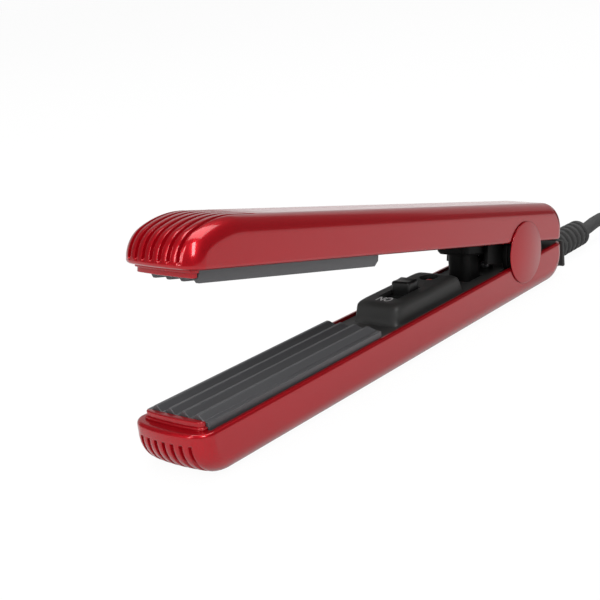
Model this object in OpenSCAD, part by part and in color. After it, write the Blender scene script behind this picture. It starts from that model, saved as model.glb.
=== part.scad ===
// Mini crimping iron: two slim arms on a rear hinge, standing open, with corrugated plates
// that mesh when the arms are squeezed shut. The nose points to -X, the cord leaves to +X,
// and the underside of the lower arm lies on z = 0, with the hinge axis above the origin.

/* [Arms] */
// Length of an arm from the hinge axis to the front of its rim
arm_l = 165; // [163:1:168]
// Length of an arm behind the hinge axis
tail_l = 29.5; // [29:0.5:30]
// Width of an arm at the hinge axis
body_w = 24.1; // [24:0.1:24.4]
// Width of an arm at the nose
nose_w = 26.9; // [26.6:0.1:27.4]
// Height of an arm from its rim to its outer face
arm_h = 13.2; // [13:0.1:13.6]
// Distance from the hinge axis to each rim
rim_gap = 3.3; // [3.2:0.1:3.4]
// Radius of the long outer edges
edge_r = 5; // [4.6:0.1:5.2]
// Thickness of the shells
wall = 1.5; // [1.4:0.1:1.6]
// How far the middle of the nose stands out in plan
nose_bulge = 2.2; // [1.8:0.1:2.6]
// Angle between the arms at rest
open_angle = 12.3; // [11:0.1:12.3]

/* [Nose grooves] */
// Number of grooves over each nose
groove_count = 7; // [5:2:7]
// Spacing of the grooves
groove_pitch = 2.87; // [2.6:0.01:2.9]
// Width of a groove
groove_w = 1.3; // [1:0.1:1.4]
// Depth of a groove
groove_d = 0.7; // [0.4:0.1:0.8]
// Distance from the hinge axis to the inner ends of the grooves
groove_end = 138; // [136:1:142]

/* [Crimping plates] */
// Distance from the hinge axis to the front of the plates
plate_front = 161; // [160.6:0.1:161]
// Length of the plates
plate_l = 75.5; // [72:0.5:75.5]
// Half width of the plates
plate_half_w = 11.1; // [10.9:0.1:11.1]
// Spacing of the crests
crest_pitch = 5; // [4.9:0.1:5]
// Height of the crests over the valleys
crest_h = 1.6; // [1.4:0.1:1.8]
// Width of the flat top of a crest
crest_flat = 1; // [0.8:0.1:1.2]
// How far the crests pass the hinge plane
crest_mesh = 0.15; // [0:0.05:0.2]
// Number of crests on each plate
crest_count = 4; // [4:1:4]

/* [Switch] */
// Distance from the hinge axis to the middle of the slider in its off position
slider_x = 56; // [55.5:0.1:56.5]
// Length of the slider knob
slider_l = 5.1; // [4.8:0.1:5.4]
// Travel of the slider
slider_travel = 6.5; // [5:0.1:6.5]
// Distance from the hinge axis to the indicator lamp
lamp_x = 42.3; // [42:0.1:43]

/* [Hinge] */
// Radius of the round hinge caps
cap_r = 10.75; // [10.6:0.05:10.9]
// Radius of the hinge pins
pin_r = 2; // [1.8:0.1:2.2]
// Running clearance of the hinge pins
pin_gap = 0.05; // [0.03:0.01:0.08]

/* [Cord] */
// Diameter of the cord
cord_d = 5; // [4.6:0.1:5]
// Radius of the tightest fold of the put-away hank, at the middle of the cord
fold_r = 15.1; // [15.1:0.1:15.3]
// Straight length of the hank's runs
hank_run = 46; // [44:0.5:46]
// Length of the strain relief behind the arm
boot_l = 34; // [34:0.5:36]
// Largest radius of the strain relief
boot_r = 5.4; // [5.2:0.1:5.6]

/* [Hidden] */
$fn = 48;

red = [0.62, 0.03, 0.07];
black = [0.09, 0.09, 0.09];
plate_grey = [0.24, 0.24, 0.25];
steel = [0.72, 0.72, 0.74];

arm_top = rim_gap + arm_h;
hinge_z = arm_top;
near = -1;
far = 1;

// Side view of an arm: a tight arc at the nose runs into a wide one that meets the flat.
// An arm's nose gives the tight arc's radius, how far it turns, the height of its middle, and
// where its grooves start
upper_nose = [9, 60, rim_gap + 1.7, -2.6];
lower_nose = [9.4, 75, 7, 8.3];
tail_r = 10;
rim_chamfer = 0.8;
blend_l = 25;
nose_edge_ease = 0.3;
rear_relief = 0.05;
cavity_front = plate_front + 0.25;

// The red ledge in front of the plates has two steps
ledge_half_w = 11.1;
ledge_l = 2.7;
ledge_bow = 0.8;
ledge_h = 2.5;
ledge_step = 1.3;
ledge_inset = 0.5;
groove_draft = 0.2;

// Hinge layers, measured from the middle of the arms
side_y = body_w / 2;
ear_out_in = side_y - wall;
ear_out_out = side_y - 0.1;
ear_gap = 0.3;
ear_in_out = ear_out_in - ear_gap;
ear_in_in = ear_in_out - 1.75;
ear_r = 9.6;
ear_cut_r = 10;
ear_block_z = 13;
cap_in = side_y + 0.4;
cap_out = side_y + 1.25;
cap_boss_r = 3.2;
pin_head_r = 3.4;
pin_head_t = 0.9;

// Levels inside an arm, measured from the hinge plane towards the outer face
roof = arm_top - wall;
cover_z = rim_gap + 1;
cover_t = 1.6;
cover_front = 85;
cover_rear = 14;
cover_half_rear = 8;
plate_back = 4.6;
valley_z = crest_h - crest_mesh;
crest_slope = (crest_pitch - 2 * crest_flat) / 2 - 0.1;
carrier_back = 10.2;
carrier_t = 1.2;
heater_t = 2;
board_z = 6.8;
board_t = 1.6;
boss_r = 2.8;
screw_r = 1.2;
lower_screw_x = [-31, -6];
upper_screw_x = [-80, -38];

// Switch housing on the lower cover
house_front = 72.3;
house_rear = 36.8;
house_half_w = 8;
house_top = 2.1;
house_edge = 2.4;
house_wall = 1.4;
slot_front = slider_x + slider_l / 2 + slider_travel + 0.6;
slot_rear = slider_x - slider_l / 2 - 0.7;
slot_half_w = 3.4;
knob_half_w = 3.1;
knob_top = 4.9;
lamp_r = 2.5;
lamp_hole_r = 3.1;

// Telescopic spring guide
post_x0 = -25.5;
post_x1 = -16;
post_half_w = 4.2;
post_top = 9;
post_corner = 2.6;
collar_x0 = -29.2;
collar_x1 = -14.3;
collar_half_w = 6.2;
collar_low = -0.6;
collar_roof = 9.4;
spring_x = (post_x0 + post_x1) / 2;
spring_foot = -13.5;
spring_top = 12.9;
spring_r = 2.3;
wire_r = 0.35;
spring_turns = 9;

// Cord end of the lower arm
cord_z = -10.2;
cap_x = 31;
cap_half_w = 10.9;
plug_in_half_w = 9.7;
neck_r = 2.7;
boot_end = cap_x + boot_l;
rib_pitch = 3.7;
rib_count = 9;

// Cord on the floor: the route's points are the middle of the cord, above the floor
cord_r = cord_d / 2;
tie_t = 0.5;
cord_low = cord_r + tie_t + 0.1;
layer_step = cord_d + 0.55;
turn_pitch = cord_d + 0.55;
hank_x = 123;
hank_y = -11.7;
hank_turns = 5.5;
top_layer = cord_low + 3 * layer_step;
plug_x = hank_x + 25;
plug_y = hank_y + 2.5;
plug_z = top_layer + cord_r + 0.05 + 6.85;
lead_route = [
    [boot_end, 0, hinge_z + cord_z], [71, 0, 6.3], [77, 0, 7], [83, 0.1, 7.1],
    [88.5, 0.5, 6.4], [94, 1.4, 5.6], [99, 3.2, 4.9], [104, 5.6, 4.2], [109, 8.2, 3.5], [114, 10.4, 3.15],
    [118.5, 11.45, cord_low], [hank_x, hank_y + fold_r + 1.5 * turn_pitch, cord_low]
];

// Half width of the arms at a place along them
function half_w(x) = body_w / 2 - (nose_w - body_w) / 2 * x / arm_l;

// Radius of the wide arc that follows a nose's tight one, and its middle along the arm
function top_r(nose) =
    (arm_top - nose[2] - nose[0] * sin(nose[1])) / (1 - sin(nose[1]));
function top_arc_x(nose) = -arm_l + nose[0] + (top_r(nose) - nose[0]) * cos(nose[1]);

function arc(c, r, a0, a1, n, first = 0) =
    [for (i = [first:n]) let(a = a0 + (a1 - a0) * i / n) [c[0] + r * cos(a), c[1] + r * sin(a)]];

// Angles along the tight nose arc: the grooves start at the first and are deep at the second
function nose_angles(nose, n) = concat(
    [nose[3]],
    [for (i = [0:n - 1]) nose[3] + 3 + (nose[1] - nose[3] - 3) * i / (n - 1)]
);

// Side view of an arm in x and z, set in by d, and sunk by g where the grooves run
function side_profile(d, g, nose, n) = concat(
    [[-arm_l + d + rim_chamfer, rim_gap], [-arm_l + d, rim_gap + rim_chamfer]],
    [for (t = nose_angles(nose, n))
        let(r = nose[0] - d - (t > nose[3] ? g : 0))
        [-arm_l + nose[0] - r * cos(t), nose[2] + r * sin(t)]],
    arc([top_arc_x(nose), arm_top - top_r(nose)], top_r(nose) - d - g, 180 - nose[1], 90, n - 1, 1),
    [[-groove_end - 2 * groove_d, arm_top - d - g], [-groove_end, arm_top - d]],
    arc([tail_l - tail_r, arm_top - tail_r], tail_r - d, 90, 0, n),
    [[tail_l - d, rim_gap + rear_relief], [0, rim_gap + rear_relief], [-1, rim_gap]]
);

function nose_weight(x) = max(0, min(1, (-arm_l + blend_l - x) / blend_l));

// One lengthwise slice of an arm. Its row gives a side, how far it has turned from the outer
// face (0) to the side wall (90), its share of the width, and how deep it lies in a groove
function slice(row, inset, front, nose, n) =
    let(turn = row[1], r = edge_r - inset,
        d = inset + r * (1 - cos(turn)), back = inset + r * (1 - sin(turn)))
    [for (p = side_profile(d, row[3], nose, n))
        let(w = nose_weight(p[0]),
            s = row[2] * (half_w(p[0]) - back) / half_w(p[0]),
            x = max(front, p[0] - w * (nose_bulge * (1 - s * s) + nose_edge_ease * (d - inset))))
        [x, row[0] * row[2] * (half_w(x) - back), p[1]]];

// The row that lies at y from the middle of the nose
function row_at(y, depth) =
    let(flat_w = half_w(-arm_l) - edge_r, side = y < 0 ? near : far, out = abs(y) - flat_w)
    out > 0 ? [side, asin(out / edge_r), 1, depth] : [side, 0, abs(y) / flat_w, depth];

function side_rows(side, turns) = [for (t = turns) [side, t, 1, 0]];

outer_rows = concat(
    side_rows(near, [90, 75, 60, 45, 30, 18]),
    [for (i = [0:groove_count - 1]) for (k = [-1, -1 + groove_draft, 1 - groove_draft, 1])
        row_at(groove_pitch * (i - (groove_count - 1) / 2) + k * groove_w / 2,
            abs(k) < 1 ? groove_d : 0)],
    side_rows(far, [18, 30, 45, 60, 75, 90])
);
inner_rows = concat(side_rows(near, [90, 60, 30, 0]), side_rows(far, [0, 30, 60, 90]));

// Faces of a skin over rows of points, from column 0 to column last; inside turns them over
function grid_faces(base, rows, cols, last, inside) =
    [for (j = [0:rows - 2]) for (i = [0:last - 1]) for (k = [0, 1])
        let(a = base + j * cols + i, b = a + 1, c = b + cols, d = a + cols)
        inside ? (k == 0 ? [a, b, c] : [a, c, d]) : (k == 0 ? [a, c, b] : [a, d, c])];

function up(base, n) = [for (i = [0:n - 1]) base + i];
function down(base, n) = [for (i = [0:n - 1]) base + n - 1 - i];

// A closed skin over rows that are loops of points
module skin(rows) {
    m = len(rows);
    n = len(rows[0]);
    polyhedron([for (row = rows) for (p = row) p], concat(
        [up(0, n), down((m - 1) * n, n)],
        [for (j = [0:m - 2]) for (i = [0:n - 1]) for (k = [0, 1])
            let(a = j * n + i, b = j * n + (i + 1) % n)
            k == 0 ? [a, b + n, b] : [a, a + n, b + n]]
    ), 4);
}

// An arm as one thin-walled skin: the outside, the hollow, and the rim that joins them
module arm_skin(nose) {
    outside = [for (row = outer_rows) slice(row, 0, -arm_l - 9, nose, 6)];
    hollow = [for (row = inner_rows) slice(row, wall, -cavity_front, nose, 4)];
    m = len(outside);
    n = len(outside[0]);
    h = len(hollow);
    k = len(hollow[0]);
    base = m * n;
    far_o = (m - 1) * n;
    far_h = base + (h - 1) * k;
    polyhedron(concat([for (row = outside) for (p = row) p], [for (row = hollow) for (p = row) p]),
        concat(
            [up(0, n), down(far_o, n), down(base, k), up(far_h, k)],
            grid_faces(0, m, n, n - 3, false),
            grid_faces(base, h, k, k - 3, true),
            [for (e = [-3:-1])
                [(n + e + 1) % n, n + e, base + k + e, base + (k + e + 1) % k]],
            [for (e = [-3:-1]) [far_o + n + e, far_o + (n + e + 1) % n,
                far_h + (k + e + 1) % k, far_h + k + e]],
            [concat([for (j = [m - 1:-1:0]) j * n], [for (j = [0:h - 1]) base + j * k])],
            [concat([for (j = [0:m - 1]) j * n + n - 3],
                [for (j = [h - 1:-1:0]) base + j * k + k - 3])]
        ), 8);
}

module box(x0, x1, y0, y1, z0, z1) {
    translate([x0, y0, z0]) cube([x1 - x0, y1 - y0, z1 - z0]);
}

module rounded_rect(x0, x1, half, r) {
    translate([x0 + r, -half]) square([x1 - x0 - 2 * r, 2 * half]);
    translate([x0, -half + r]) square([x1 - x0, 2 * (half - r)]);
    for (x = [x0 + r, x1 - r], y = [-half + r, half - r]) translate([x, y]) circle(r);
}

// A disc across the arms, from y0 to y1 on the side given
module cross_disc(side, r, y0, y1) {
    translate([0, side * y0, 0]) rotate([-90 * side, 0, 0]) cylinder(r = r, h = y1 - y0);
}

module on_lower() {
    translate([0, 0, hinge_z]) children();
}

// Inside on_lower, turns a shape that is drawn for the upper arm over into the lower one
module flip() {
    mirror([0, 0, 1]) children();
}

module on_upper() {
    translate([0, 0, hinge_z]) rotate([0, open_angle, 0]) children();
}

// Plan of the ledge in front of a plate: a bowed front with tight corners
function ledge_plan(l, half) =
    [for (s = [-1, -0.99, -0.97, -0.92, -0.8, -0.5, -0.2, 0.2, 0.5, 0.8, 0.92, 0.97, 0.99, 1])
        [-cavity_front - 0.05 - (l - ledge_bow * s * s) * pow(1 - pow(abs(s), 24), 0.4), half * s]];

module ledge() {
    translate([0, 0, rim_gap - ledge_step])
        linear_extrude(ledge_step + 1) polygon(ledge_plan(ledge_l, ledge_half_w));
    translate([0, 0, rim_gap - ledge_h])
        linear_extrude(ledge_h + 0.5)
            polygon(ledge_plan(ledge_l - ledge_inset, ledge_half_w - ledge_inset));
}

module screw_boss(x, z0) {
    difference() {
        translate([x, 0, z0]) cylinder(r = boss_r, h = roof + 0.3 - z0);
        translate([x, 0, z0 - 1]) cylinder(r = screw_r, h = 6);
    }
}

// Each shell is one moulded skin with exact ledge, ears, bosses and bores
module lower_shell() {
    color(red) on_lower() difference() {
        union() {
            flip() {
                resize([0, 0, 0]) arm_skin(lower_nose);
                ledge();
                for (x = lower_screw_x) screw_boss(x, cover_z + cover_t);
            }
            for (side = [near, far]) cross_disc(side, ear_r, ear_out_in, ear_out_out);
            for (x = [-70, -48]) box(x, x + 2, -7, 7, -roof - 0.3, -board_z - board_t);
        }
        box(21.2, tail_l + 1, -plug_in_half_w - 0.05, plug_in_half_w + 0.05, -13.1, 0);
        for (side = [near, far]) cross_disc(side, pin_r, ear_out_in - 1, side_y + 1);
    }
}

module upper_shell() {
    color(red) on_upper() difference() {
        union() {
            resize([0, 0, 0]) arm_skin(upper_nose);
            ledge();
            for (side = [near, far]) {
                cross_disc(side, ear_r, ear_in_in, ear_in_out);
                y = side * (ear_in_in + ear_out_in) / 2;
                t = ear_out_in - ear_in_in;
                box(-ear_r + 0.4, ear_r - 0.4, y - t / 2 + 0.15, y + t / 2 + 0.35,
                    rim_gap + 0.3, ear_block_z);
            }
            for (x = upper_screw_x) screw_boss(x, cover_z + cover_t);
        }
        for (side = [near, far]) {
            cross_disc(side, ear_cut_r, ear_in_out, side_y + 1);
            cross_disc(side, pin_r + pin_gap, ear_in_in - 1, ear_in_out + 1);
        }
    }
}

// Plan of an inner cover: it follows the taper of the arms and narrows between the ears
function cover_plan() =
    let(neck = ear_r + 1.9, g = wall + 0.15)
    [[-cover_front, half_w(-cover_front) - g], [-neck, half_w(-neck) - g],
     [-neck, cover_half_rear], [cover_rear, cover_half_rear], [cover_rear, -cover_half_rear],
     [-neck, -cover_half_rear], [-neck, -half_w(-neck) + g],
     [-cover_front, -half_w(-cover_front) + g]];

module screw_holes(xs) {
    for (x = xs) translate([x, 0, cover_z - 1]) cylinder(r = screw_r + 0.2, h = cover_t + 2);
}

module house_outside() {
    e = house_edge;
    h = house_half_w - e;
    top = house_top - e;
    hull() {
        for (x = [-house_front - 0.4 + e, -house_rear - e], y = [-h, h])
            translate([x, y, top]) sphere(e, $fn = 24);
        for (x = [-house_front - 2 + e, -house_rear + 3.2 - e], y = [-h, h])
            translate([x, y, -cover_z - 0.4]) cylinder(r = e, h = 0.8, $fn = 24);
    }
}

module lower_inner_cover() {
    color(black) on_lower() difference() {
        union() {
            flip() translate([0, 0, cover_z]) linear_extrude(cover_t) polygon(cover_plan());
            house_outside();
        }
        box(-house_front + house_wall, -house_rear - house_wall,
            -house_half_w + house_wall + 0.6, house_half_w - house_wall - 0.6,
            -cover_z - cover_t - 1, house_top - house_wall);
        box(-slot_front, -slot_rear, -slot_half_w, slot_half_w, -1, house_top + 1);
        translate([-lamp_x, 0, -cover_z - cover_t - 1]) cylinder(r = lamp_hole_r, h = 12);
        translate([0, 0, -cover_z - cover_t - 1]) linear_extrude(cover_t + 2)
            rounded_rect(post_x0 - 0.1, post_x1 + 0.1, post_half_w + 0.1, post_corner);
        flip() screw_holes(lower_screw_x);
    }
}

module upper_inner_cover() {
    color(black) on_upper() difference() {
        translate([0, 0, cover_z]) linear_extrude(cover_t) polygon(cover_plan());
        box(-slot_front - 3, -slot_rear + 2, -5.5, 5.5, cover_z - 1, cover_z + cover_t + 1);
        translate([0, 0, cover_z - 1]) linear_extrude(cover_t + 2)
            rounded_rect(collar_x0 - 0.1, collar_x1 + 0.1, collar_half_w + 0.1, post_corner);
        screw_holes(upper_screw_x);
    }
}

module spring_post() {
    color(black) on_lower() difference() {
        translate([0, 0, -roof]) linear_extrude(roof + post_top)
            rounded_rect(post_x0, post_x1, post_half_w, post_corner);
        translate([spring_x, 0, spring_foot])
            cylinder(r = spring_r + wire_r + 0.35, h = post_top - spring_foot + 1);
    }
}

module spring_collar() {
    e = 0.9;
    color(black) on_upper() difference() {
        union() {
            translate([0, 0, collar_low + e]) linear_extrude(roof - collar_low - e)
                rounded_rect(collar_x0, collar_x1, collar_half_w, post_corner);
            hull() {
                translate([0, 0, collar_low]) linear_extrude(0.05)
                    rounded_rect(collar_x0 + e, collar_x1 - e, collar_half_w - e,
                        post_corner - e, $fn = 32);
                translate([0, 0, collar_low + e]) linear_extrude(0.05)
                    rounded_rect(collar_x0, collar_x1, collar_half_w, post_corner, $fn = 32);
            }
        }
        box(collar_x0 + 1.3, collar_x1 - 1.2, -post_half_w - 0.4, post_half_w + 0.4,
            collar_low - 1, collar_roof);
    }
}

// Points of a tube that follows a path, one ring at each point, square to its neighbours
function tube_ring(path, i, r, sides) =
    let(a = path[max(0, i - 1)], b = path[min(len(path) - 1, i + 1)],
        t = (b - a) / norm(b - a),
        u = cross([0, 0, 1], t) / norm(cross([0, 0, 1], t)),
        v = cross(t, u))
    [for (k = [0:sides - 1])
        let(q = 360 * (k + 0.5) / sides) path[i] + r * (cos(q) * u + sin(q) * v)];

module tube(path, r, sides) {
    skin([for (i = [0:len(path) - 1]) tube_ring(path, i, r, sides)]);
}

spring_path = concat(
    [for (i = [0:8 * spring_turns])
        let(a = 45 * i, z0 = spring_foot + wire_r + 0.1, z1 = spring_top - wire_r - 0.1)
        [spring_x + spring_r * cos(a), spring_r * sin(a),
         z0 + (z1 - z0) * i / (8 * spring_turns)]]
);

module return_spring() {
    color(steel) on_lower() tube(spring_path, wire_r, 6);
}

// End view of a plate in y and height, drawn from its flat back up to its crests
function plate_profile(first) =
    let(foot = crest_flat / 2 + crest_slope,
        crests = [for (i = [0:crest_count - 1]) first + crest_pitch * i],
        cut = first - foot < -plate_half_w,
        edge = cut ? first - crest_flat / 2 - 0.2 : -plate_half_w)
    concat(
        [[edge, -plate_back], [edge, cut ? crest_mesh : -valley_z]],
        [for (c = crests) for (p = [[c - foot, -valley_z], [c - crest_flat / 2, crest_mesh],
            [c + crest_flat / 2, crest_mesh], [c + foot, -valley_z]]) if (p[0] > edge) p],
        [[plate_half_w, -valley_z], [plate_half_w, -plate_back]]
    );

// A plate with its crests up, its rear end bevelled
module plate(first) {
    bevel = crest_h + crest_mesh;
    rear = -plate_front + plate_l;
    difference() {
        translate([-plate_front, 0, 0]) rotate([90, 0, 90])
            linear_extrude(plate_l) polygon(plate_profile(first));
        translate([rear, plate_half_w + 1, -valley_z]) rotate([90, 0, 0])
            linear_extrude(2 * plate_half_w + 2)
                polygon([[0, 0], [0.5, 0], [0.5, bevel + 0.5], [-bevel - 0.5, bevel + 0.5]]);
    }
}

module lower_plate() {
    color(plate_grey) on_lower() plate(-1.5 * crest_pitch);
}

module upper_plate() {
    color(plate_grey) on_upper() flip() plate(-2 * crest_pitch);
}

// Heat-proof tray under a plate, drawn for the upper arm: pocket for the heater, and legs
module plate_carrier() {
    front = -plate_front + 3;
    rear = -plate_front + plate_l - 0.5;
    difference() {
        box(front, rear, -10.4, 10.4, plate_back, carrier_back);
        box(-151, -90, -6.2, 6.2, plate_back - 1, carrier_back - carrier_t);
        box(-148, -140, -8, 8, carrier_back - carrier_t - 1, carrier_back + 1);
    }
    for (x = [-139.5, -96], y = [-7.5, 4.5]) box(x, x + 3, y, y + 3, carrier_back - 0.1, roof);
}

module heater() {
    box(-150, -100, -6, 6, plate_back, plate_back + heater_t);
    for (y = [-3, 3]) box(-100, -92, y - 1, y + 1, plate_back + 0.6, plate_back + 1);
}

module lower_plate_carrier() {
    color([0.16, 0.15, 0.14]) on_lower() flip() plate_carrier();
}

module upper_plate_carrier() {
    color([0.16, 0.15, 0.14]) on_upper() plate_carrier();
}

module lower_heater() {
    color([0.7, 0.45, 0.2]) on_lower() flip() heater();
}

module upper_heater() {
    color([0.7, 0.45, 0.2]) on_upper() heater();
}

module thermal_fuse() {
    r = (carrier_back - carrier_t - plate_back - heater_t) / 2;
    color(steel) on_lower() translate([-130, 0, -plate_back - heater_t - r])
        rotate([0, 90, 0]) {
            cylinder(r = r, h = 9);
            translate([0, 0, -6]) cylinder(r = 0.4, h = 21);
        }
}

module switch_body() {
    top = -1.2;
    color([0.13, 0.13, 0.14]) on_lower() {
        box(-slider_x - 8, -slider_x + 4, -4.5, 4.5, -board_z, top);
        for (x = [-6, -2, 2]) box(-slider_x + x - 0.4, -slider_x + x + 0.4, -0.6, 0.6,
            -board_z - board_t - 1.5, -board_z + 0.1);
    }
}

module circuit_board() {
    color([0.1, 0.35, 0.18]) on_lower() difference() {
        box(-72, -39.5, -7, 7, -board_z - board_t, -board_z);
        for (x = [-6, -2, 2]) box(-slider_x + x - 0.4, -slider_x + x + 0.4, -0.6, 0.6,
            -board_z - board_t - 1, -board_z + 1);
    }
}

module indicator_lamp() {
    tip = house_top - 0.9;
    color([0.75, 0.1, 0.08]) on_lower() translate([-lamp_x, 0, -board_z]) {
        cylinder(r = lamp_r + 0.3, h = 0.8);
        cylinder(r = lamp_r, h = board_z + tip - lamp_r);
        translate([0, 0, board_z + tip - lamp_r]) rotate_extrude() intersection() {
            circle(lamp_r);
            square(lamp_r);
        }
    }
}

// The knob's top is dished for a fingertip; a flange below the housing keeps it in
module switch_slider() {
    x0 = -slider_x - slider_l / 2;
    x1 = -slider_x + slider_l / 2;
    color(black) on_lower() {
        difference() {
            box(x0, x1, -knob_half_w, knob_half_w, -0.2, knob_top);
            translate([-slider_x, knob_half_w + 1, knob_top + 4.4]) rotate([90, 0, 0])
                cylinder(r = 5.2, h = 2 * knob_half_w + 2);
        }
        box(x0 - 1.5, x1 + 1.5, -5.2, 5.2, -0.8, 0.35);
    }
}

module hinge_pins() {
    color(steel) on_lower() for (side = [near, far]) {
        cross_disc(side, pin_head_r, ear_in_in - 0.3 - pin_head_t, ear_in_in - 0.3);
        cross_disc(side, pin_r, ear_in_in - 0.4, ear_out_out);
    }
}

// Round cover over a hinge, turned from a profile: a shallow dome with a rounded rim
module hinge_cap(side) {
    t = cap_out - cap_in;
    rim_r = 0.45;
    color(red) on_lower() translate([0, side * cap_in, 0]) rotate([-90 * side, 0, 0]) {
        rotate_extrude($fn = 96) {
            square([cap_r, t - rim_r]);
            square([cap_r - rim_r, t]);
            translate([cap_r - rim_r, t - rim_r]) circle(rim_r, $fn = 32);
        }
        translate([0, 0, ear_out_out - cap_in])
            cylinder(r = cap_boss_r, h = cap_in - ear_out_out + 0.1);
    }
}

module hinge_cap_near() {
    hinge_cap(near);
}

module hinge_cap_far() {
    hinge_cap(far);
}

// Black end piece: a plug between the side walls and a flange behind the arm
module rear_cap() {
    low = -13.6;
    top = -3.7;
    edge = 0.6;
    color(black) on_lower() difference() {
        union() {
            box(16, tail_l + 0.5, -plug_in_half_w, plug_in_half_w, -13, top - 0.3);
            hull() {
                for (y = [-cap_half_w + edge, cap_half_w - edge]) {
                    translate([cap_x - edge, y, low + 0.6]) cylinder(r = edge,
                        h = top - low - 0.6, $fn = 32);
                    translate([tail_l + 0.2 + edge, y, low]) cylinder(r = edge, h = top - low,
                        $fn = 32);
                }
            }
        }
        translate([13, 0, cord_z]) rotate([0, 90, 0]) cylinder(r = neck_r, h = 30);
    }
}

// Ribbed strain relief, turned about the cord: ribs shrink a little towards the free end
module cord_boot() {
    core_r = 4.5;
    rib_w = 2.4;
    first = 1;
    color(black) translate([0, 0, hinge_z + cord_z]) rotate([0, 90, 0]) rotate_extrude() {
        translate([0, 20]) square([neck_r, cap_x - 20 + 1]);
        translate([0, cap_x]) square([core_r, boot_l - 1]);
        for (i = [0:rib_count - 1]) {
            r = boot_r - 0.3 * i / (rib_count - 1);
            z = cap_x + first + rib_pitch * i;
            e = 0.5;
            polygon([[0, z], [r - e, z], [r, z + e], [r, z + rib_w - e], [r - e, z + rib_w],
                [0, z + rib_w]]);
        }
        translate([0, boot_end - 1.2]) square([4.2, 1.2]);
    }
}

module cord_clamp() {
    color([0.2, 0.2, 0.2]) on_lower() difference() {
        box(6, 12, -6.8, 6.8, -roof, -cover_z - cover_t);
        translate([5, 0, cord_z]) rotate([0, 90, 0]) cylinder(r = cord_r, h = 8);
    }
}

// The cord inside the arm: its jacket up to the clamp and its two cores up to the board
module mains_wires() {
    core_y = 5.6;
    core_r = 0.9;
    color([0.15, 0.15, 0.16]) on_lower() {
        translate([3, 0, cord_z]) rotate([0, 90, 0]) cylinder(r = cord_r, h = 17);
        box(1.5, 4, -core_y - core_r, core_y + core_r, cord_z - core_r, cord_z + core_r);
        for (y = [-core_y, core_y]) {
            translate([-39, y, cord_z]) rotate([0, 90, 0]) cylinder(r = core_r, h = 41);
            translate([-40.2, y, cord_z - core_r]) cylinder(r = core_r, h = core_r - cord_z
                - board_z - board_t);
        }
    }
}

module screw() {
    translate([0, 0, -1.3]) cylinder(r = 2.1, h = 1.3);
    cylinder(r = screw_r - 0.1, h = 5.4);
}

module lower_screws() {
    color(steel) on_lower() flip() for (x = lower_screw_x) translate([x, 0, cover_z]) screw();
}

module upper_screws() {
    color(steel) on_upper() for (x = upper_screw_x) translate([x, 0, cover_z]) screw();
}

module cord_lead() {
    color(black) tube(lead_route, cord_r, 10);
}

function ease(u) = u <= 0 ? 0 : u >= 1 ? 1 : u * u * (3 - 2 * u);

// Two equal bends that carry the cord from one line to another
function swing(u) = u < 0.5 ? 2 * u * u : 1 - 2 * (1 - u) * (1 - u);

// The hank winds clockwise round two folds, inwards over one and a half turns and then
// outwards, and goes up a layer each time it turns back. A turn has two steps on each run
// and ten on each fold.
function hank_point(turn) =
    let(r = fold_r + turn_pitch * abs(turn % 3 - 1.5),
        layers = [for (m = [1.5:1.5:4.5]) ease((turn - m + 0.25) / 0.5)],
        side = turn % 1 < 0.5 ? 1 : -1,
        step = 24 * (turn % 0.5),
        a = 18 * max(0, step - 2),
        x = hank_run * (min(1, step / 2) - 0.5) + r * sin(a))
    [hank_x + hank_run / 2 + side * x, hank_y + side * r * cos(a),
     cord_low + layer_step * (layers * [1, 1, 1])];

hank_path = [for (i = [0:24 * hank_turns]) hank_point(i / 24)];

module cord_hank() {
    color(black) tube(hank_path, cord_r, 6);
}

// The last run climbs on top, folds back and swings over to the plug
run_y = hank_y - fold_r - turn_pitch;
last_y = run_y - 0.6;
tail_route = concat(
    [for (u = [0:0.125:1]) [hank_x + hank_run * (1 - u), run_y - 0.6 * u,
        top_layer + layer_step * ease(u)]],
    [for (a = [15:15:180]) [hank_x - fold_r * sin(a), last_y + fold_r - fold_r * cos(a),
        top_layer + layer_step]],
    [for (u = [1 / 6:1 / 6:1.01]) [
        hank_x + (plug_x - hank_x - 0.5) * u,
        last_y + 2 * fold_r + (plug_y - last_y - 2 * fold_r) * swing(u),
        top_layer + layer_step + (plug_z - top_layer - layer_step) * swing(u)
    ]],
    [[plug_x, plug_y, plug_z]]
);

module cord_tail() {
    color(black) tube(tail_route, cord_r, 10);
}

// Band drawn round the hank near the start of its runs
module cord_tie() {
    ends = [
        [run_y - 0.65, cord_low], [hank_y + fold_r + 1.5 * turn_pitch + 0.1, cord_low],
        [hank_y + fold_r + 1.5 * turn_pitch + 0.1, cord_low + 1.8 * layer_step],
        [hank_y + fold_r + 0.65 * turn_pitch, top_layer + 0.1],
        [last_y + 2 * fold_r + 0.1, top_layer + layer_step + 0.8],
        [run_y - 0.65, top_layer + layer_step + 0.1]
    ];
    color([0.2, 0.2, 0.2]) translate([hank_x + 1.5, 0, 0]) rotate([90, 0, 90]) linear_extrude(6)
        difference() {
            hull() for (p = ends) translate(p) circle(cord_r + 0.1 + tie_t, $fn = 24);
            hull() for (p = ends) translate(p) circle(cord_r + 0.1, $fn = 24);
        }
}

hank_gap = min([for (i = [0:len(hank_path) - 1], j = [i + 10:len(hank_path) - 1])
    norm(hank_path[i] - hank_path[j])]) - cord_d;
hank_length = [for (i = 0, s = 0; i < len(hank_path); i = i + 1,
    s = i < len(hank_path) ? s + norm(hank_path[i] - hank_path[i - 1]) : s) s];
echo(least_gap_of_the_hank = hank_gap, hank_length = hank_length[len(hank_length) - 1]);
spring_gap = (spring_top - spring_foot) / spring_turns - 2 * wire_r;
echo(least_gap_of_the_spring = spring_gap);

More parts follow.
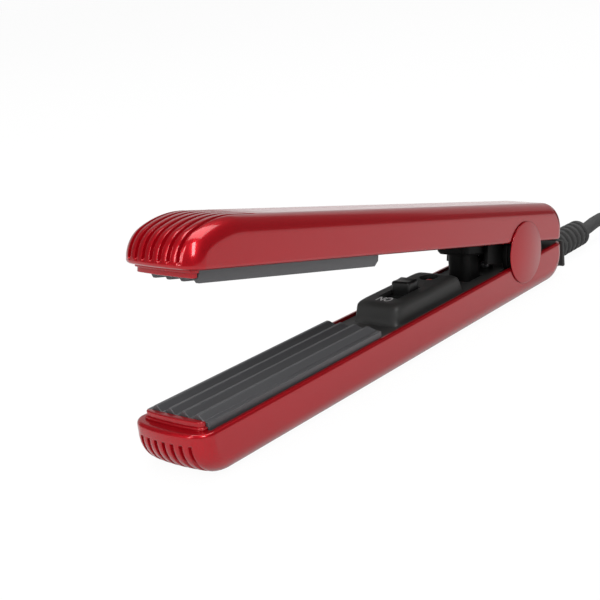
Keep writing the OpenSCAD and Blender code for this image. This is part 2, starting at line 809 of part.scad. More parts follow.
// Flat two-pin plug lying on its wide side
module plug_body() {
    half = 17.65;
    thick = 13.7;
    depth = 36;
    color(black) translate([plug_x, plug_y, plug_z - thick / 2]) union() {
        hull() {
            for (y = [-half + 5, half - 5])
                translate([depth - 6, y, 0.6]) cylinder(r = 5, h = thick - 1.2, $fn = 32);
            for (y = [-half + 6, half - 6])
                translate([depth - 7, y, 0]) cylinder(r = 5, h = thick, $fn = 32);
            translate([15, -9, 1.5]) cube([1, 18, thick - 3]);
            translate([6, 0, thick / 2]) rotate([0, 90, 0]) cylinder(r = 5, h = 1, $fn = 32);
        }
        translate([0, 0, thick / 2]) rotate([0, 90, 0]) cylinder(r1 = 3.6, r2 = 5, h = 6.5);
    }
}

module plug_pins() {
    r = 2;
    color(steel) for (y = [-9.3, 9.3]) translate([plug_x + 35, plug_y + y, plug_z])
        rotate([0, 90, 0]) {
        cylinder(r = r, h = 19 - r);
        translate([0, 0, 19 - r]) rotate_extrude() intersection() {
            circle(r);
            square(r);
        }
    }
}

lower_shell();
lower_inner_cover();
spring_post();
return_spring();
lower_plate();
lower_plate_carrier();
lower_heater();
thermal_fuse();
switch_body();
circuit_board();
indicator_lamp();
hinge_pins();
hinge_cap_near();
hinge_cap_far();
rear_cap();
cord_clamp();
mains_wires();
lower_screws();
upper_shell();
upper_inner_cover();
spring_collar();
upper_plate();
upper_plate_carrier();
upper_heater();
upper_screws();
switch_slider();
cord_boot();
cord_lead();
cord_hank();
cord_tail();
cord_tie();
plug_body();
plug_pins();
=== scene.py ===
"""Mini crimping iron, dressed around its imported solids.

Shapes are drawn in millimetres about the hinge axis, as the upper arm lies when the
iron is shut. They are then seated on the lower arm or on the upper one, or are drawn
straight in the part's own frame.
"""

import logging
import math
from dataclasses import dataclass, field
from enum import Enum
from typing import Callable, Iterable, Sequence

import bmesh
import bpy
from mathutils import Matrix, Vector

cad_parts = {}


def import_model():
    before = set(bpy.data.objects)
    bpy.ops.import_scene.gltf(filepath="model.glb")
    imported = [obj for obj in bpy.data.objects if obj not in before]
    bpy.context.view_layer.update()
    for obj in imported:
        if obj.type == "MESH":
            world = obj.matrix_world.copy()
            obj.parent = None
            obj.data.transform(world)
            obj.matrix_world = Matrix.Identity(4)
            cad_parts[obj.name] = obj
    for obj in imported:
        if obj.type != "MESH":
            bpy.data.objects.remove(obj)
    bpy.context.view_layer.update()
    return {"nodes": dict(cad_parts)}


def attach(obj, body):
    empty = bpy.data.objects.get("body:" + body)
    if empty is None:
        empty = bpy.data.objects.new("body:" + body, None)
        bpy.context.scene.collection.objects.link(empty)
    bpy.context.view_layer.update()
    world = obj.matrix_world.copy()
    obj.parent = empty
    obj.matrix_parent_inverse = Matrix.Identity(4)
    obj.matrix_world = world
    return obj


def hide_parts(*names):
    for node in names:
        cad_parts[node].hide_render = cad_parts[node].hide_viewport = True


LOG = logging.getLogger("iron")
MM = 0.001  # metres in a millimetre
HINGE_Z = 16.5  # height of the hinge axis over the table
OPEN_ANGLE = math.radians(12.3)  # how far the upper arm stands open at rest
CORNER = 1.0  # angle between faces over which their edge is a corner, in radians
NEAR = -1  # the side that the camera sees
FAR = 1
SEAM = 0.002  # how close two vertices are that become one
FINE_SEAM = 0.0005
WHITE = (1, 1, 1, 1)

Profile = Sequence[tuple[float, float]]
Triple = tuple[float, float, float]
Quad = tuple[float, float, float, float]


class Seat(Enum):
    """Where a shape is put."""

    ROW = "row"
    LOWER = "lower"
    LOWER_FLIPPED = "lower_flipped"
    UPPER = "upper"

    def matrix(self) -> Matrix:
        """Returns:
            The transform from the shape's millimetres to metres in the part's frame.
        """
        scale = Matrix.Scale(MM, 4)
        lift = Matrix.Translation((0, 0, HINGE_Z))
        if self is Seat.ROW:
            return scale
        if self is Seat.LOWER:
            return scale @ lift
        if self is Seat.LOWER_FLIPPED:
            return scale @ lift @ Matrix.Scale(-1, 4, (0, 0, 1))
        return scale @ lift @ Matrix.Rotation(OPEN_ANGLE, 4, "Y")


class Body(Enum):
    """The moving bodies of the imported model."""

    LOWER = "lower_arm"
    UPPER = "upper_arm"
    SLIDER = "slider"


# --- shader maths -------------------------------------------------------------------


class Value:
    """A number in a material's node tree, with Python's operators."""

    def __init__(self, graph: "Graph", socket: bpy.types.NodeSocket) -> None:
        """Args:
            graph: the node tree the socket is in.
            socket: the output that carries the number.
        """
        self.graph = graph
        self.socket = socket

    def _math(self, operation: str, a: object, b: object) -> "Value":
        """Args:
            operation: a Math node's operation.
            a: its first number or value.
            b: its second number or value.

        Returns:
            The result.
        """
        settings = {"operation": operation}
        return self.graph.value("ShaderNodeMath", settings, {0: a, 1: b})

    def __add__(self, other: object) -> "Value":
        """Sum."""
        return self._math("ADD", self, other)

    __radd__ = __add__

    def __sub__(self, other: object) -> "Value":
        """Difference."""
        return self._math("SUBTRACT", self, other)

    def __rsub__(self, other: object) -> "Value":
        """Difference, turned round."""
        return self._math("SUBTRACT", other, self)

    def __mul__(self, other: object) -> "Value":
        """Product."""
        return self._math("MULTIPLY", self, other)

    __rmul__ = __mul__

    def band(self, low: float, high: float) -> "Value":
        """Args:
            low: where the result is 0.
            high: where the result is 1.

        Returns:
            The value mapped smoothly from low..high to 0..1.
        """
        settings = {"interpolation_type": "SMOOTHSTEP"}
        inputs = {"Value": self, "From Min": low, "From Max": high}
        return self.graph.value("ShaderNodeMapRange", settings, inputs)


class Graph:
    """A material's node tree around one Principled shader."""

    # Sockets of a Mix node that mixes colours: its two inputs and its output.
    MIX_A, MIX_B, MIX_OUT = 6, 7, 2

    def __init__(self, material: bpy.types.Material) -> None:
        """Args:
            material: the material to fill.
        """
        material.use_nodes = True
        self.tree = material.node_tree
        self.tree.nodes.clear()
        self.shader = self.tree.nodes.new("ShaderNodeBsdfPrincipled")
        self.out = self.tree.nodes.new("ShaderNodeOutputMaterial")
        self.tree.links.new(self.shader.outputs[0], self.out.inputs["Surface"])

    def feed(self, socket: bpy.types.NodeSocket, value: object) -> None:
        """Args:
            socket: an input.
            value: a Value, an output socket, or a constant.
        """
        if isinstance(value, Value):
            value = value.socket
        if isinstance(value, bpy.types.NodeSocket):
            self.tree.links.new(value, socket)
        else:
            socket.default_value = value

    def node(self, kind: str, settings: dict, inputs: dict) -> bpy.types.Node:
        """Args:
            kind: the node's type.
            settings: its properties, set first.
            inputs: values or links of its sockets, by name or number.

        Returns:
            The node.
        """
        node = self.tree.nodes.new(kind)
        for key, value in settings.items():
            setattr(node, key, value)
        for key, value in inputs.items():
            self.feed(node.inputs[key], value)
        return node

    def value(self, kind: str, settings: dict, inputs: dict) -> Value:
        """Returns: the first output of a new node, as a Value."""
        return Value(self, self.node(kind, settings, inputs).outputs[0])

    def place(self, scale: Triple = (1, 1, 1)) -> bpy.types.NodeSocket:
        """Args:
            scale: how much each axis of the pattern is squeezed.

        Returns:
            Object coordinates.
        """
        coords = self.node("ShaderNodeTexCoord", {}, {})
        inputs = {"Vector": coords.outputs["Object"], "Scale": scale}
        return self.node("ShaderNodeMapping", {}, inputs).outputs[0]

    def noise(self, scale: float, detail: float, stretch: Triple = (1, 1, 1)) -> Value:
        """Args:
            scale: features in a metre.
            detail: octaves.
            stretch: how much each axis is squeezed.

        Returns:
            Noise from 0 to 1.
        """
        inputs = {"Vector": self.place(stretch), "Scale": scale, "Detail": detail}
        return self.value("ShaderNodeTexNoise", {}, inputs)

    def mix(self, factor: object, a: object, b: object) -> bpy.types.NodeSocket:
        """Args:
            factor: from 0 to 1.
            a: colour at 0, or its socket.
            b: colour at 1, or its socket.

        Returns:
            The mixed colour's socket.
        """
        inputs = {0: factor, self.MIX_A: a, self.MIX_B: b}
        node = self.node("ShaderNodeMix", {"data_type": "RGBA"}, inputs)
        return node.outputs[self.MIX_OUT]

    def bump(self, height: Value, distance: float) -> None:
        """Args:
            height: the surface's height from 0 to 1.
            distance: what 1 stands for, in metres.
        """
        inputs = {"Height": height, "Distance": distance, "Strength": 1.0}
        node = self.node("ShaderNodeBump", {}, inputs)
        self.feed(self.shader.inputs["Normal"], node.outputs[0])


# --- finishes -----------------------------------------------------------------------


@dataclass(frozen=True)
class Finish:
    """A plain finish: two close colours, a roughness that wanders, and a fine grain."""

    name: str
    slot: str
    colour: Quad
    second: Quad
    roughness: float
    wander: float = 0.06
    metallic: float = 0.0
    coat: float = 0.0
    coat_roughness: float = 0.08
    specular: float = 0.5
    mottle: float = 60.0
    mottle_band: tuple[float, float] = (0.3, 0.7)
    grain: float = 3500.0
    grain_height: float = 0.00002
    detail: float = 3.0
    stretch: Triple = (1.0, 1.0, 1.0)

    def material(self) -> bpy.types.Material:
        """Returns: the finish's material, made once."""
        found = bpy.data.materials.get(self.name)
        if found:
            return found
        made = bpy.data.materials.new(self.name)
        graph = Graph(made)
        shader = graph.shader.inputs
        mottle = graph.noise(self.mottle, self.detail, self.stretch)
        mottle = mottle.band(*self.mottle_band)
        grain = graph.noise(self.grain, self.detail, self.stretch)
        graph.feed(shader["Base Color"], graph.mix(mottle, self.colour, self.second))
        base = self.roughness - self.wander
        rough = mottle * self.wander + grain * self.wander + base
        graph.feed(shader["Roughness"], rough)
        shader["Metallic"].default_value = self.metallic
        shader["Coat Weight"].default_value = self.coat
        shader["Coat Roughness"].default_value = self.coat_roughness
        shader["Specular IOR Level"].default_value = self.specular
        if self.grain_height:
            graph.bump(grain, self.grain_height)
        self.extra(graph)
        return made

    def extra(self, graph: Graph) -> None:
        """Adds what a special finish has besides; a plain one has nothing."""


@dataclass(frozen=True)
class RedLacquer(Finish):
    """Clear lacquer over a deep red base with a fine metallic shimmer."""

    slant_blend: float = 0.35
    slant_band: tuple[float, float] = (0.1, 0.95)
    slant_shade: float = 0.62
    flake: float = 9000.0
    flake_band: tuple[float, float] = (0.35, 0.75)

    def extra(self, graph: Graph) -> None:
        """Deepens the red where the base is seen at a slant, as candy lacquer does.

        Args:
            graph: the material's node tree.
        """
        facing = graph.node("ShaderNodeLayerWeight", {}, {"Blend": self.slant_blend})
        slant = Value(graph, facing.outputs["Facing"]).band(*self.slant_band)
        flake = graph.noise(self.flake, 1.0).band(*self.flake_band)
        face_on = graph.mix(flake, self.colour, self.second)
        deep = tuple(c * self.slant_shade for c in self.colour[:3]) + (1.0,)
        seen = graph.mix(slant, face_on, deep)
        graph.feed(graph.shader.inputs["Base Color"], seen)


RED = RedLacquer(
    "red_lacquer", "red_shell", (0.3, 0.001, 0.005, 1), (0.34, 0.0015, 0.008, 1), 0.34,
    wander=0.03, metallic=0.5, coat=0.55, coat_roughness=0.09, specular=0.1,
    grain=700.0, grain_height=0.000003,
)
BLACK = Finish(
    "black_moulding", "black_cover",
    (0.018, 0.018, 0.0175, 1), (0.023, 0.023, 0.0225, 1), 0.55,
    specular=0.4, grain=4200.0,
)
# Painted shade: a near-black copy of the black moulding, for the hinge ears, the upper
# inner cover, the spring post and its collar, which stand in shade between the arms.
SHADED_BLACK = Finish(
    "shaded_black_moulding", "black_cover",
    (0.003, 0.003, 0.003, 1), (0.004, 0.004, 0.004, 1), 0.55,
    specular=0.12, grain=4200.0, grain_height=0.00001,
)
KNOB = Finish(
    "knob_moulding", "black_knob",
    (0.007, 0.007, 0.007, 1), (0.01, 0.01, 0.01, 1), 0.38,
    specular=0.35, grain=2600.0, grain_height=0.00001,
)
PLATE = Finish(
    "plate_coating", "plate_coating",
    (0.004, 0.004, 0.004, 1), (0.006, 0.006, 0.006, 1), 0.3,
    coat=0.9, coat_roughness=0.07, specular=0.15, mottle=90.0,
    grain=2600.0, grain_height=0.000004, stretch=(0.15, 1, 1),
)
JACKET = Finish(
    "cord_jacket", "cord_jacket",
    (0.005, 0.005, 0.005, 1), (0.007, 0.007, 0.007, 1), 0.42,
    specular=0.2, grain=2400.0,
)
TRAY = Finish(
    "heat_proof_tray", "heat_proof_tray",
    (0.06, 0.055, 0.05, 1), (0.08, 0.07, 0.065, 1), 0.7,
)
WRAP = Finish(
    "heater_wrap", "heater_wrap",
    (0.45, 0.2, 0.03, 1), (0.55, 0.28, 0.05, 1), 0.3, coat=0.4,
)
INNER = Finish(
    "inner_plastic", "inner_plastic",
    (0.05, 0.05, 0.055, 1), (0.07, 0.07, 0.075, 1), 0.5,
)
BOARD = Finish(
    "circuit_board", "board",
    (0.02, 0.12, 0.05, 1), (0.03, 0.17, 0.07, 1), 0.35, coat=0.5,
)
# Painted shade: the red lens is deepened to near black for the shade of the recess it
# sits in.
LAMP = Finish(
    "lamp_lens", "lamp_lens",
    (0.015, 0.003, 0.003, 1), (0.02, 0.004, 0.003, 1), 0.12, coat=1.0,
    grain_height=0.0,
)
STEEL = Finish(
    "plated_steel", "steel",
    (0.55, 0.55, 0.57, 1), (0.66, 0.66, 0.68, 1), 0.28, metallic=1.0,
    grain=1800.0, grain_height=0.000004,
)
NICKEL = Finish(
    "nickel_pin", "pin_metal",
    (0.62, 0.61, 0.58, 1), (0.72, 0.71, 0.68, 1), 0.2, metallic=1.0,
    grain=1500.0, grain_height=0.000002, stretch=(0.2, 1, 1),
)
# Painted shade: the OFF print is inked nearly as dark as the housing, far darker than
# ON, for the shade it lies in behind the knob.
SHADED_OFF_INK = Finish(
    "shaded_off_ink", "black_cover", (0.03, 0.03, 0.03, 1), (0.04, 0.04, 0.04, 1), 0.6,
    grain_height=0.000004,
)
WHITE_INK = Finish(
    "white_ink", "black_cover", (0.5, 0.5, 0.5, 1), (0.62, 0.62, 0.62, 1), 0.6,
    grain_height=0.000004,
)


# --- mesh helpers -------------------------------------------------------------------


def smooth(x: float) -> float:
    """Returns: x held to 0..1 and eased at both ends."""
    x = min(1.0, max(0.0, x))
    return x * x * (3 - 2 * x)


def lerp(a: float, b: float, t: float) -> float:
    """Returns: the number t of the way from a to b."""
    return a + (b - a) * t


def spread(a: float, b: float, n: int) -> list[float]:
    """Returns: n + 1 even steps from a to b."""
    return [lerp(a, b, i / n) for i in range(n + 1)]


def once_each(items: Iterable) -> list:
    """Returns: the items in their order, each once."""
    return list(dict.fromkeys(items))


def super_round(angle: float, power: float) -> tuple[float, float]:
    """Args:
        angle: how far round the outline, in radians.
        power: 1 for a circle, and less for squarer corners.

    Returns:
        The place on an outline of radius 1.
    """
    c, s = math.cos(angle), math.sin(angle)
    return math.copysign(abs(c) ** power, c), math.copysign(abs(s) ** power, s)


def placed(name: str, data: bpy.types.ID) -> bpy.types.Object:
    """Args:
        name: the object's name.
        data: its mesh, curve, lamp or camera.

    Returns:
        The new object, in the scene.
    """
    made = bpy.data.objects.new(name, data)
    bpy.context.scene.collection.objects.link(made)
    return made


def final_mesh(piece: bpy.types.Object) -> bpy.types.Mesh:
    """Returns: a piece's mesh with its modifiers or its letters worked out."""
    view = bpy.context.evaluated_depsgraph_get()
    return bpy.data.meshes.new_from_object(piece.evaluated_get(view))


def sheet(bm: bmesh.types.BMesh, rows: int, cols: int,
          place: Callable[[int, int], Iterable[float]]) -> None:
    """Adds a grid whose vertices are moved onto a surface.

    Args:
        bm: the mesh to add to.
        rows: vertices one way.
        cols: vertices the other way.
        place: gives the point of a row and column.
    """
    made = bmesh.ops.create_grid(bm, x_segments=rows - 1, y_segments=cols - 1, size=1.0)
    for v in made["verts"]:
        i = round((v.co.x + 1) / 2 * (rows - 1))
        j = round((v.co.y + 1) / 2 * (cols - 1))
        v.co = Vector(place(i, j))


def weld(bm: bmesh.types.BMesh, dist: float = SEAM) -> None:
    """Merges doubles, closes what is left open and turns the faces outwards.

    Args:
        bm: the mesh.
        dist: how close two vertices are that become one.
    """
    bmesh.ops.remove_doubles(bm, verts=bm.verts[:], dist=dist)
    bmesh.ops.dissolve_degenerate(bm, edges=bm.edges[:], dist=dist / 2)
    bmesh.ops.holes_fill(bm, edges=[e for e in bm.edges if e.is_boundary], sides=0)
    bmesh.ops.recalc_face_normals(bm, faces=bm.faces[:])


def soften(bm: bmesh.types.BMesh, edges: list[bmesh.types.BMEdge], radius: float,
           segments: int = 3) -> None:
    """Rounds edges of a mesh.

    Args:
        bm: the mesh.
        edges: the edges to round.
        radius: their radius.
        segments: faces round each edge.
    """
    bmesh.ops.bevel(
        bm, geom=edges, offset=radius, segments=segments, profile=0.5,
        affect="EDGES", material=-1,
    )


def block(bm: bmesh.types.BMesh, low: Sequence[float], high: Sequence[float],
          bevel: float = 0.0, segments: int = 3) -> None:
    """Adds a box, with rounded edges when bevel is given.

    Args:
        bm: the mesh to add to.
        low: its lowest corner.
        high: its highest corner.
        bevel: radius of its edges.
        segments: faces round each edge.
    """
    made = bmesh.ops.create_cube(bm, size=1.0)["verts"]
    size = [h - l for l, h in zip(low, high)]
    middle = [(l + h) / 2 for l, h in zip(low, high)]
    bmesh.ops.scale(bm, vec=size, verts=made)
    bmesh.ops.translate(bm, vec=middle, verts=made)
    if bevel:
        edges = once_each(e for v in made for e in v.link_edges)
        soften(bm, edges, bevel, segments)


def disc(bm: bmesh.types.BMesh, radius: float, y0: float, y1: float, sides: int = 96,
         bevel: float = 0.0) -> None:
    """Adds a disc across the arms, about the hinge axis.

    Args:
        bm: the mesh to add to.
        radius: its radius.
        y0: where it starts.
        y1: where it ends.
        sides: faces round it.
        bevel: radius of its edges.
    """
    lie = Matrix.Rotation(math.pi / 2, 4, "X")
    turn = Matrix.Translation((0, (y0 + y1) / 2, 0)) @ lie
    made = bmesh.ops.create_cone(
        bm, cap_ends=True, segments=sides, radius1=radius, radius2=radius,
        depth=abs(y1 - y0), matrix=turn,
    )["verts"]
    if bevel:
        ring = once_each(e for v in made for e in v.link_edges)
        sharp = [e for e in ring
                 if len(e.link_faces) == 2 and e.calc_face_angle(0) > CORNER]
        soften(bm, sharp, bevel)


def post(bm: bmesh.types.BMesh, at: tuple[float, float], z0: float, z1: float,
         radius: float, sides: int = 48) -> None:
    """Adds an upright cylinder.

    Args:
        bm: the mesh to add to.
        at: its middle, in x and y.
        z0: its foot.
        z1: its top.
        radius: its radius.
        sides: faces round it.
    """
    bmesh.ops.create_cone(
        bm, cap_ends=True, segments=sides, radius1=radius, radius2=radius,
        depth=z1 - z0, matrix=Matrix.Translation((*at, (z0 + z1) / 2)),
    )


def lathe(profile: Profile, steps: int) -> bmesh.types.BMesh:
    """Turns a profile about the X axis.

    Args:
        profile: pairs of place along X and radius, from one end to the other.
        steps: faces round.

    Returns:
        A closed mesh.
    """
    bm = bmesh.new()
    verts = [bm.verts.new((x, 0, r)) for x, r in profile]
    edges = [bm.edges.new(pair) for pair in zip(verts, verts[1:])]
    bmesh.ops.spin(
        bm, geom=verts + edges, cent=(0, 0, 0), axis=(1, 0, 0), angle=2 * math.pi,
        steps=steps, use_merge=True, use_duplicate=False,
    )
    bmesh.ops.remove_doubles(bm, verts=bm.verts[:], dist=FINE_SEAM)
    bmesh.ops.recalc_face_normals(bm, faces=bm.faces[:])
    return bm


def prism(bm: bmesh.types.BMesh, outline: Sequence[Sequence[float]],
          along: Sequence[float]) -> list[bmesh.types.BMFace]:
    """Adds a flat outline pulled along a vector.

    Args:
        bm: the mesh to add to.
        outline: its corners, in three dimensions.
        along: how far and which way.

    Returns:
        Its faces.
    """
    verts = [bm.verts.new(p) for p in outline]
    face = bm.faces.new(verts)
    made = bmesh.ops.extrude_face_region(bm, geom=[face])["geom"]
    top = [g for g in made if isinstance(g, bmesh.types.BMVert)]
    bmesh.ops.translate(bm, vec=along, verts=top)
    faces = once_each(f for v in verts + top for f in v.link_faces)
    bmesh.ops.recalc_face_normals(bm, faces=faces)
    return faces


def join(bm: bmesh.types.BMesh, part: bmesh.types.BMesh) -> None:
    """Adds one mesh to another.

    Args:
        bm: the mesh to add to.
        part: what is added, and freed.
    """
    scrap = bpy.data.meshes.new("scrap")
    part.to_mesh(scrap)
    part.free()
    bm.from_mesh(scrap)
    bpy.data.meshes.remove(scrap)


def finished(name: str, bm: bmesh.types.BMesh, seat: Seat,
             sharp: float = 35.0) -> bpy.types.Object:
    """Seats a mesh and makes it an object.

    Args:
        name: the piece's name.
        bm: its mesh, in millimetres.
        seat: where it is drawn.
        sharp: angle over which an edge stays sharp, in degrees.

    Returns:
        The object, at the origin.
    """
    bm.transform(seat.matrix())
    if seat is Seat.LOWER_FLIPPED:
        bmesh.ops.reverse_faces(bm, faces=bm.faces[:])
    for f in bm.faces:
        f.smooth = True
    mesh = bpy.data.meshes.new(name)
    bm.to_mesh(mesh)
    bm.free()
    mesh.set_sharp_from_angle(angle=math.radians(sharp))
    return placed(name, mesh)


def carve(piece: bpy.types.Object, tool: bmesh.types.BMesh, seat: Seat,
          keep: bool = False) -> None:
    """Cuts a shape out of a piece, or adds it.

    Args:
        piece: what is cut.
        tool: the shape, in millimetres.
        seat: where the shape is drawn.
        keep: adds the shape instead.
    """
    cutter = finished("cutter", tool, seat)
    step = piece.modifiers.new("cut", "BOOLEAN")
    step.operation = "UNION" if keep else "DIFFERENCE"
    step.solver = "EXACT"
    step.object = cutter
    bpy.context.view_layer.update()
    mesh = final_mesh(piece)
    piece.modifiers.clear()
    piece.data = mesh
    bpy.data.objects.remove(cutter)


def round_edges(piece: bpy.types.Object, width: float, segments: int,
                angle: float) -> None:
    """Adds a bevel to the sharp edges of a piece.

    Args:
        piece: the piece.
        width: the bevel's width, in millimetres.
        segments: faces across it.
        angle: angle over which an edge gets it, in degrees.
    """
    step = piece.modifiers.new("edges", "BEVEL")
    step.width = width * MM
    step.segments = segments
    step.limit_method = "ANGLE"
    step.angle_limit = math.radians(angle)
    step.use_clamp_overlap = True


def dress(piece: bpy.types.Object, finish: Finish, body: Body,
          *nodes: str) -> bpy.types.Object:
    """Gives a piece its finish, its body and the solids it stands for.

    Args:
        piece: the piece.
        finish: its finish.
        body: the body it rides on.
        nodes: the solids that it replaces.

    Returns:
        The piece.
    """
    piece.data.materials.clear()
    piece.data.materials.append(finish.material())
    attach(piece, body.value)
    if nodes:
        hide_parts(*nodes)
    LOG.info("%s on %s", piece.name, body.value)
    return piece


# --- studio -------------------------------------------------------------------------


@dataclass(frozen=True)
class SoftBox:
    """A soft lamp: where it hangs, its width and height, its watts and its aim."""

    name: str
    at: Triple
    size: tuple[float, float]
    watts: float
    aim: Triple = (0.0, 0.0, 0.0)

    def hang(self) -> None:
        """Hangs the lamp and turns it to its aim."""
        data = bpy.data.lights.new(self.name, "AREA")
        data.shape = "RECTANGLE"
        data.size, data.size_y = self.size
        data.energy = self.watts
        way = Vector(self.aim) - Vector(self.at)
        turn = way.to_track_quat("-Z", "Y").to_matrix().to_4x4()
        placed(self.name, data).matrix_world = Matrix.Translation(self.at) @ turn


@dataclass
class Studio:
    """Camera, floor, backdrop and soft lights, in metres."""

    eye: Triple = (-0.35918, -0.21665, 0.12968)
    yaw: float = -0.8595
    pitch: float = -0.291
    roll: float = -0.110
    lens: float = 72.73
    sensor: float = 36.0
    clip: tuple[float, float] = (0.01, 60.0)
    floor_size: tuple[float, float] = (14.0, 14.0)
    floor_level: float = -0.0001
    wall_size: tuple[float, float] = (10.0, 1.9)
    wall_at: Triple = (2.6, 2.24, 0.95)
    wall_way: tuple[float, float] = (0.757, 0.652)
    paper_grey: float = 0.82
    paper_rough: float = 0.9
    paper_shine: float = 0.1
    paper_seen: float = 0.96
    paper_gloss: float = 0.5
    room_light: float = 0.16
    lamps: tuple[SoftBox, ...] = (
        SoftBox("key", (-0.9, -0.9, 1.3), (0.35, 1.3), 26.0),
        SoftBox("top", (0.2, 0.1, 1.5), (1.4, 1.0), 22.0),
        SoftBox("left", (-1.4, 0.35, 0.9), (0.3, 1.3), 12.0, (-0.1, 0, 0)),
    )

    def camera(self) -> None:
        """Sets the camera where the photograph was taken from."""
        cy, sy = math.cos(self.yaw), math.sin(self.yaw)
        cp, sp = math.cos(self.pitch), math.sin(self.pitch)
        cr, sr = math.cos(self.roll), math.sin(self.roll)
        ahead = Vector((-sy * cp, cy * cp, sp))
        level = Vector((cy, sy, 0))
        over = level.cross(ahead)
        right = cr * level + sr * over
        up = -sr * level + cr * over
        turn = Matrix((right, up, -ahead)).transposed().to_4x4()
        data = bpy.data.cameras.new("camera")
        data.lens = self.lens
        data.sensor_width = self.sensor
        data.sensor_fit = "HORIZONTAL"
        data.clip_start, data.clip_end = self.clip
        camera = placed("camera", data)
        camera.matrix_world = Matrix.Translation(self.eye) @ turn
        bpy.context.scene.camera = camera

    def white(self) -> bpy.types.Material:
        """Returns: matt white that camera and gloss see as lit paper, made once."""
        found = bpy.data.materials.get("studio_white")
        if found:
            return found
        material = bpy.data.materials.new("studio_white")
        graph = Graph(material)
        shader = graph.shader.inputs
        shader["Base Color"].default_value = (*[self.paper_grey] * 3, 1)
        shader["Roughness"].default_value = self.paper_rough
        shader["Specular IOR Level"].default_value = self.paper_shine
        light = {"Color": WHITE, "Strength": 1.0}
        glow = graph.node("ShaderNodeEmission", {}, light)
        path = graph.node("ShaderNodeLightPath", {}, {})
        seen = Value(graph, path.outputs["Is Camera Ray"]) * self.paper_seen
        gloss = Value(graph, path.outputs["Is Glossy Ray"]) * self.paper_gloss
        mix = graph.node("ShaderNodeMixShader", {}, {0: seen + gloss})
        graph.feed(mix.inputs[1], graph.shader.outputs[0])
        graph.feed(mix.inputs[2], glow.outputs[0])
        graph.feed(graph.out.inputs["Surface"], mix.outputs[0])
        return material

    def sheet(self, name: str, size: tuple[float, float], seat: Matrix) -> None:
        """Lays a flat white sheet.

        Args:
            name: the sheet's name.
            size: its width and depth.
            seat: where it goes.
        """
        bm = bmesh.new()
        bmesh.ops.create_grid(bm, x_segments=1, y_segments=1, size=0.5)
        bmesh.ops.scale(bm, vec=(*size, 1), verts=bm.verts[:])
        bm.transform(seat)
        mesh = bpy.data.meshes.new(name)
        bm.to_mesh(mesh)
        bm.free()
        piece = placed(name, mesh)
        mesh.materials.append(self.white())

    def paper(self) -> None:
        """Lays the pale floor and stands a low pale wall far behind the object."""
        level = Matrix.Translation((0, 0, self.floor_level))
        self.sheet("floor", self.floor_size, level)
        away = math.atan2(self.wall_way[1], self.wall_way[0])
        turn = Matrix.Rotation(away - math.pi / 2, 4, "Z")
        stand = Matrix.Rotation(math.pi / 2, 4, "X")
        seat = Matrix.Translation(self.wall_at) @ turn @ stand
        self.sheet("backdrop", self.wall_size, seat)

    def world(self) -> None:
        """Fills the room with even light, white where the camera sees it."""
        world = bpy.data.worlds.new("studio")
        bpy.context.scene.world = world
        world.use_nodes = True
        tree = world.node_tree
        tree.nodes.clear()
        out = tree.nodes.new("ShaderNodeOutputWorld")
        path = tree.nodes.new("ShaderNodeLightPath")
        mix = tree.nodes.new("ShaderNodeMixShader")
        tree.links.new(path.outputs["Is Camera Ray"], mix.inputs[0])
        for socket, strength in ((1, self.room_light), (2, 1.0)):
            light = tree.nodes.new("ShaderNodeBackground")
            light.inputs["Color"].default_value = WHITE
            light.inputs["Strength"].default_value = strength
            tree.links.new(light.outputs[0], mix.inputs[socket])
        tree.links.new(mix.outputs[0], out.inputs["Surface"])

    def build(self) -> None:
        """Builds the studio round the camera."""
        bpy.context.scene.view_settings.view_transform = "Standard"
        self.paper()
        self.world()
        for lamp in self.lamps:
            lamp.hang()


# --- the mains cord -----------------------------------------------------------------


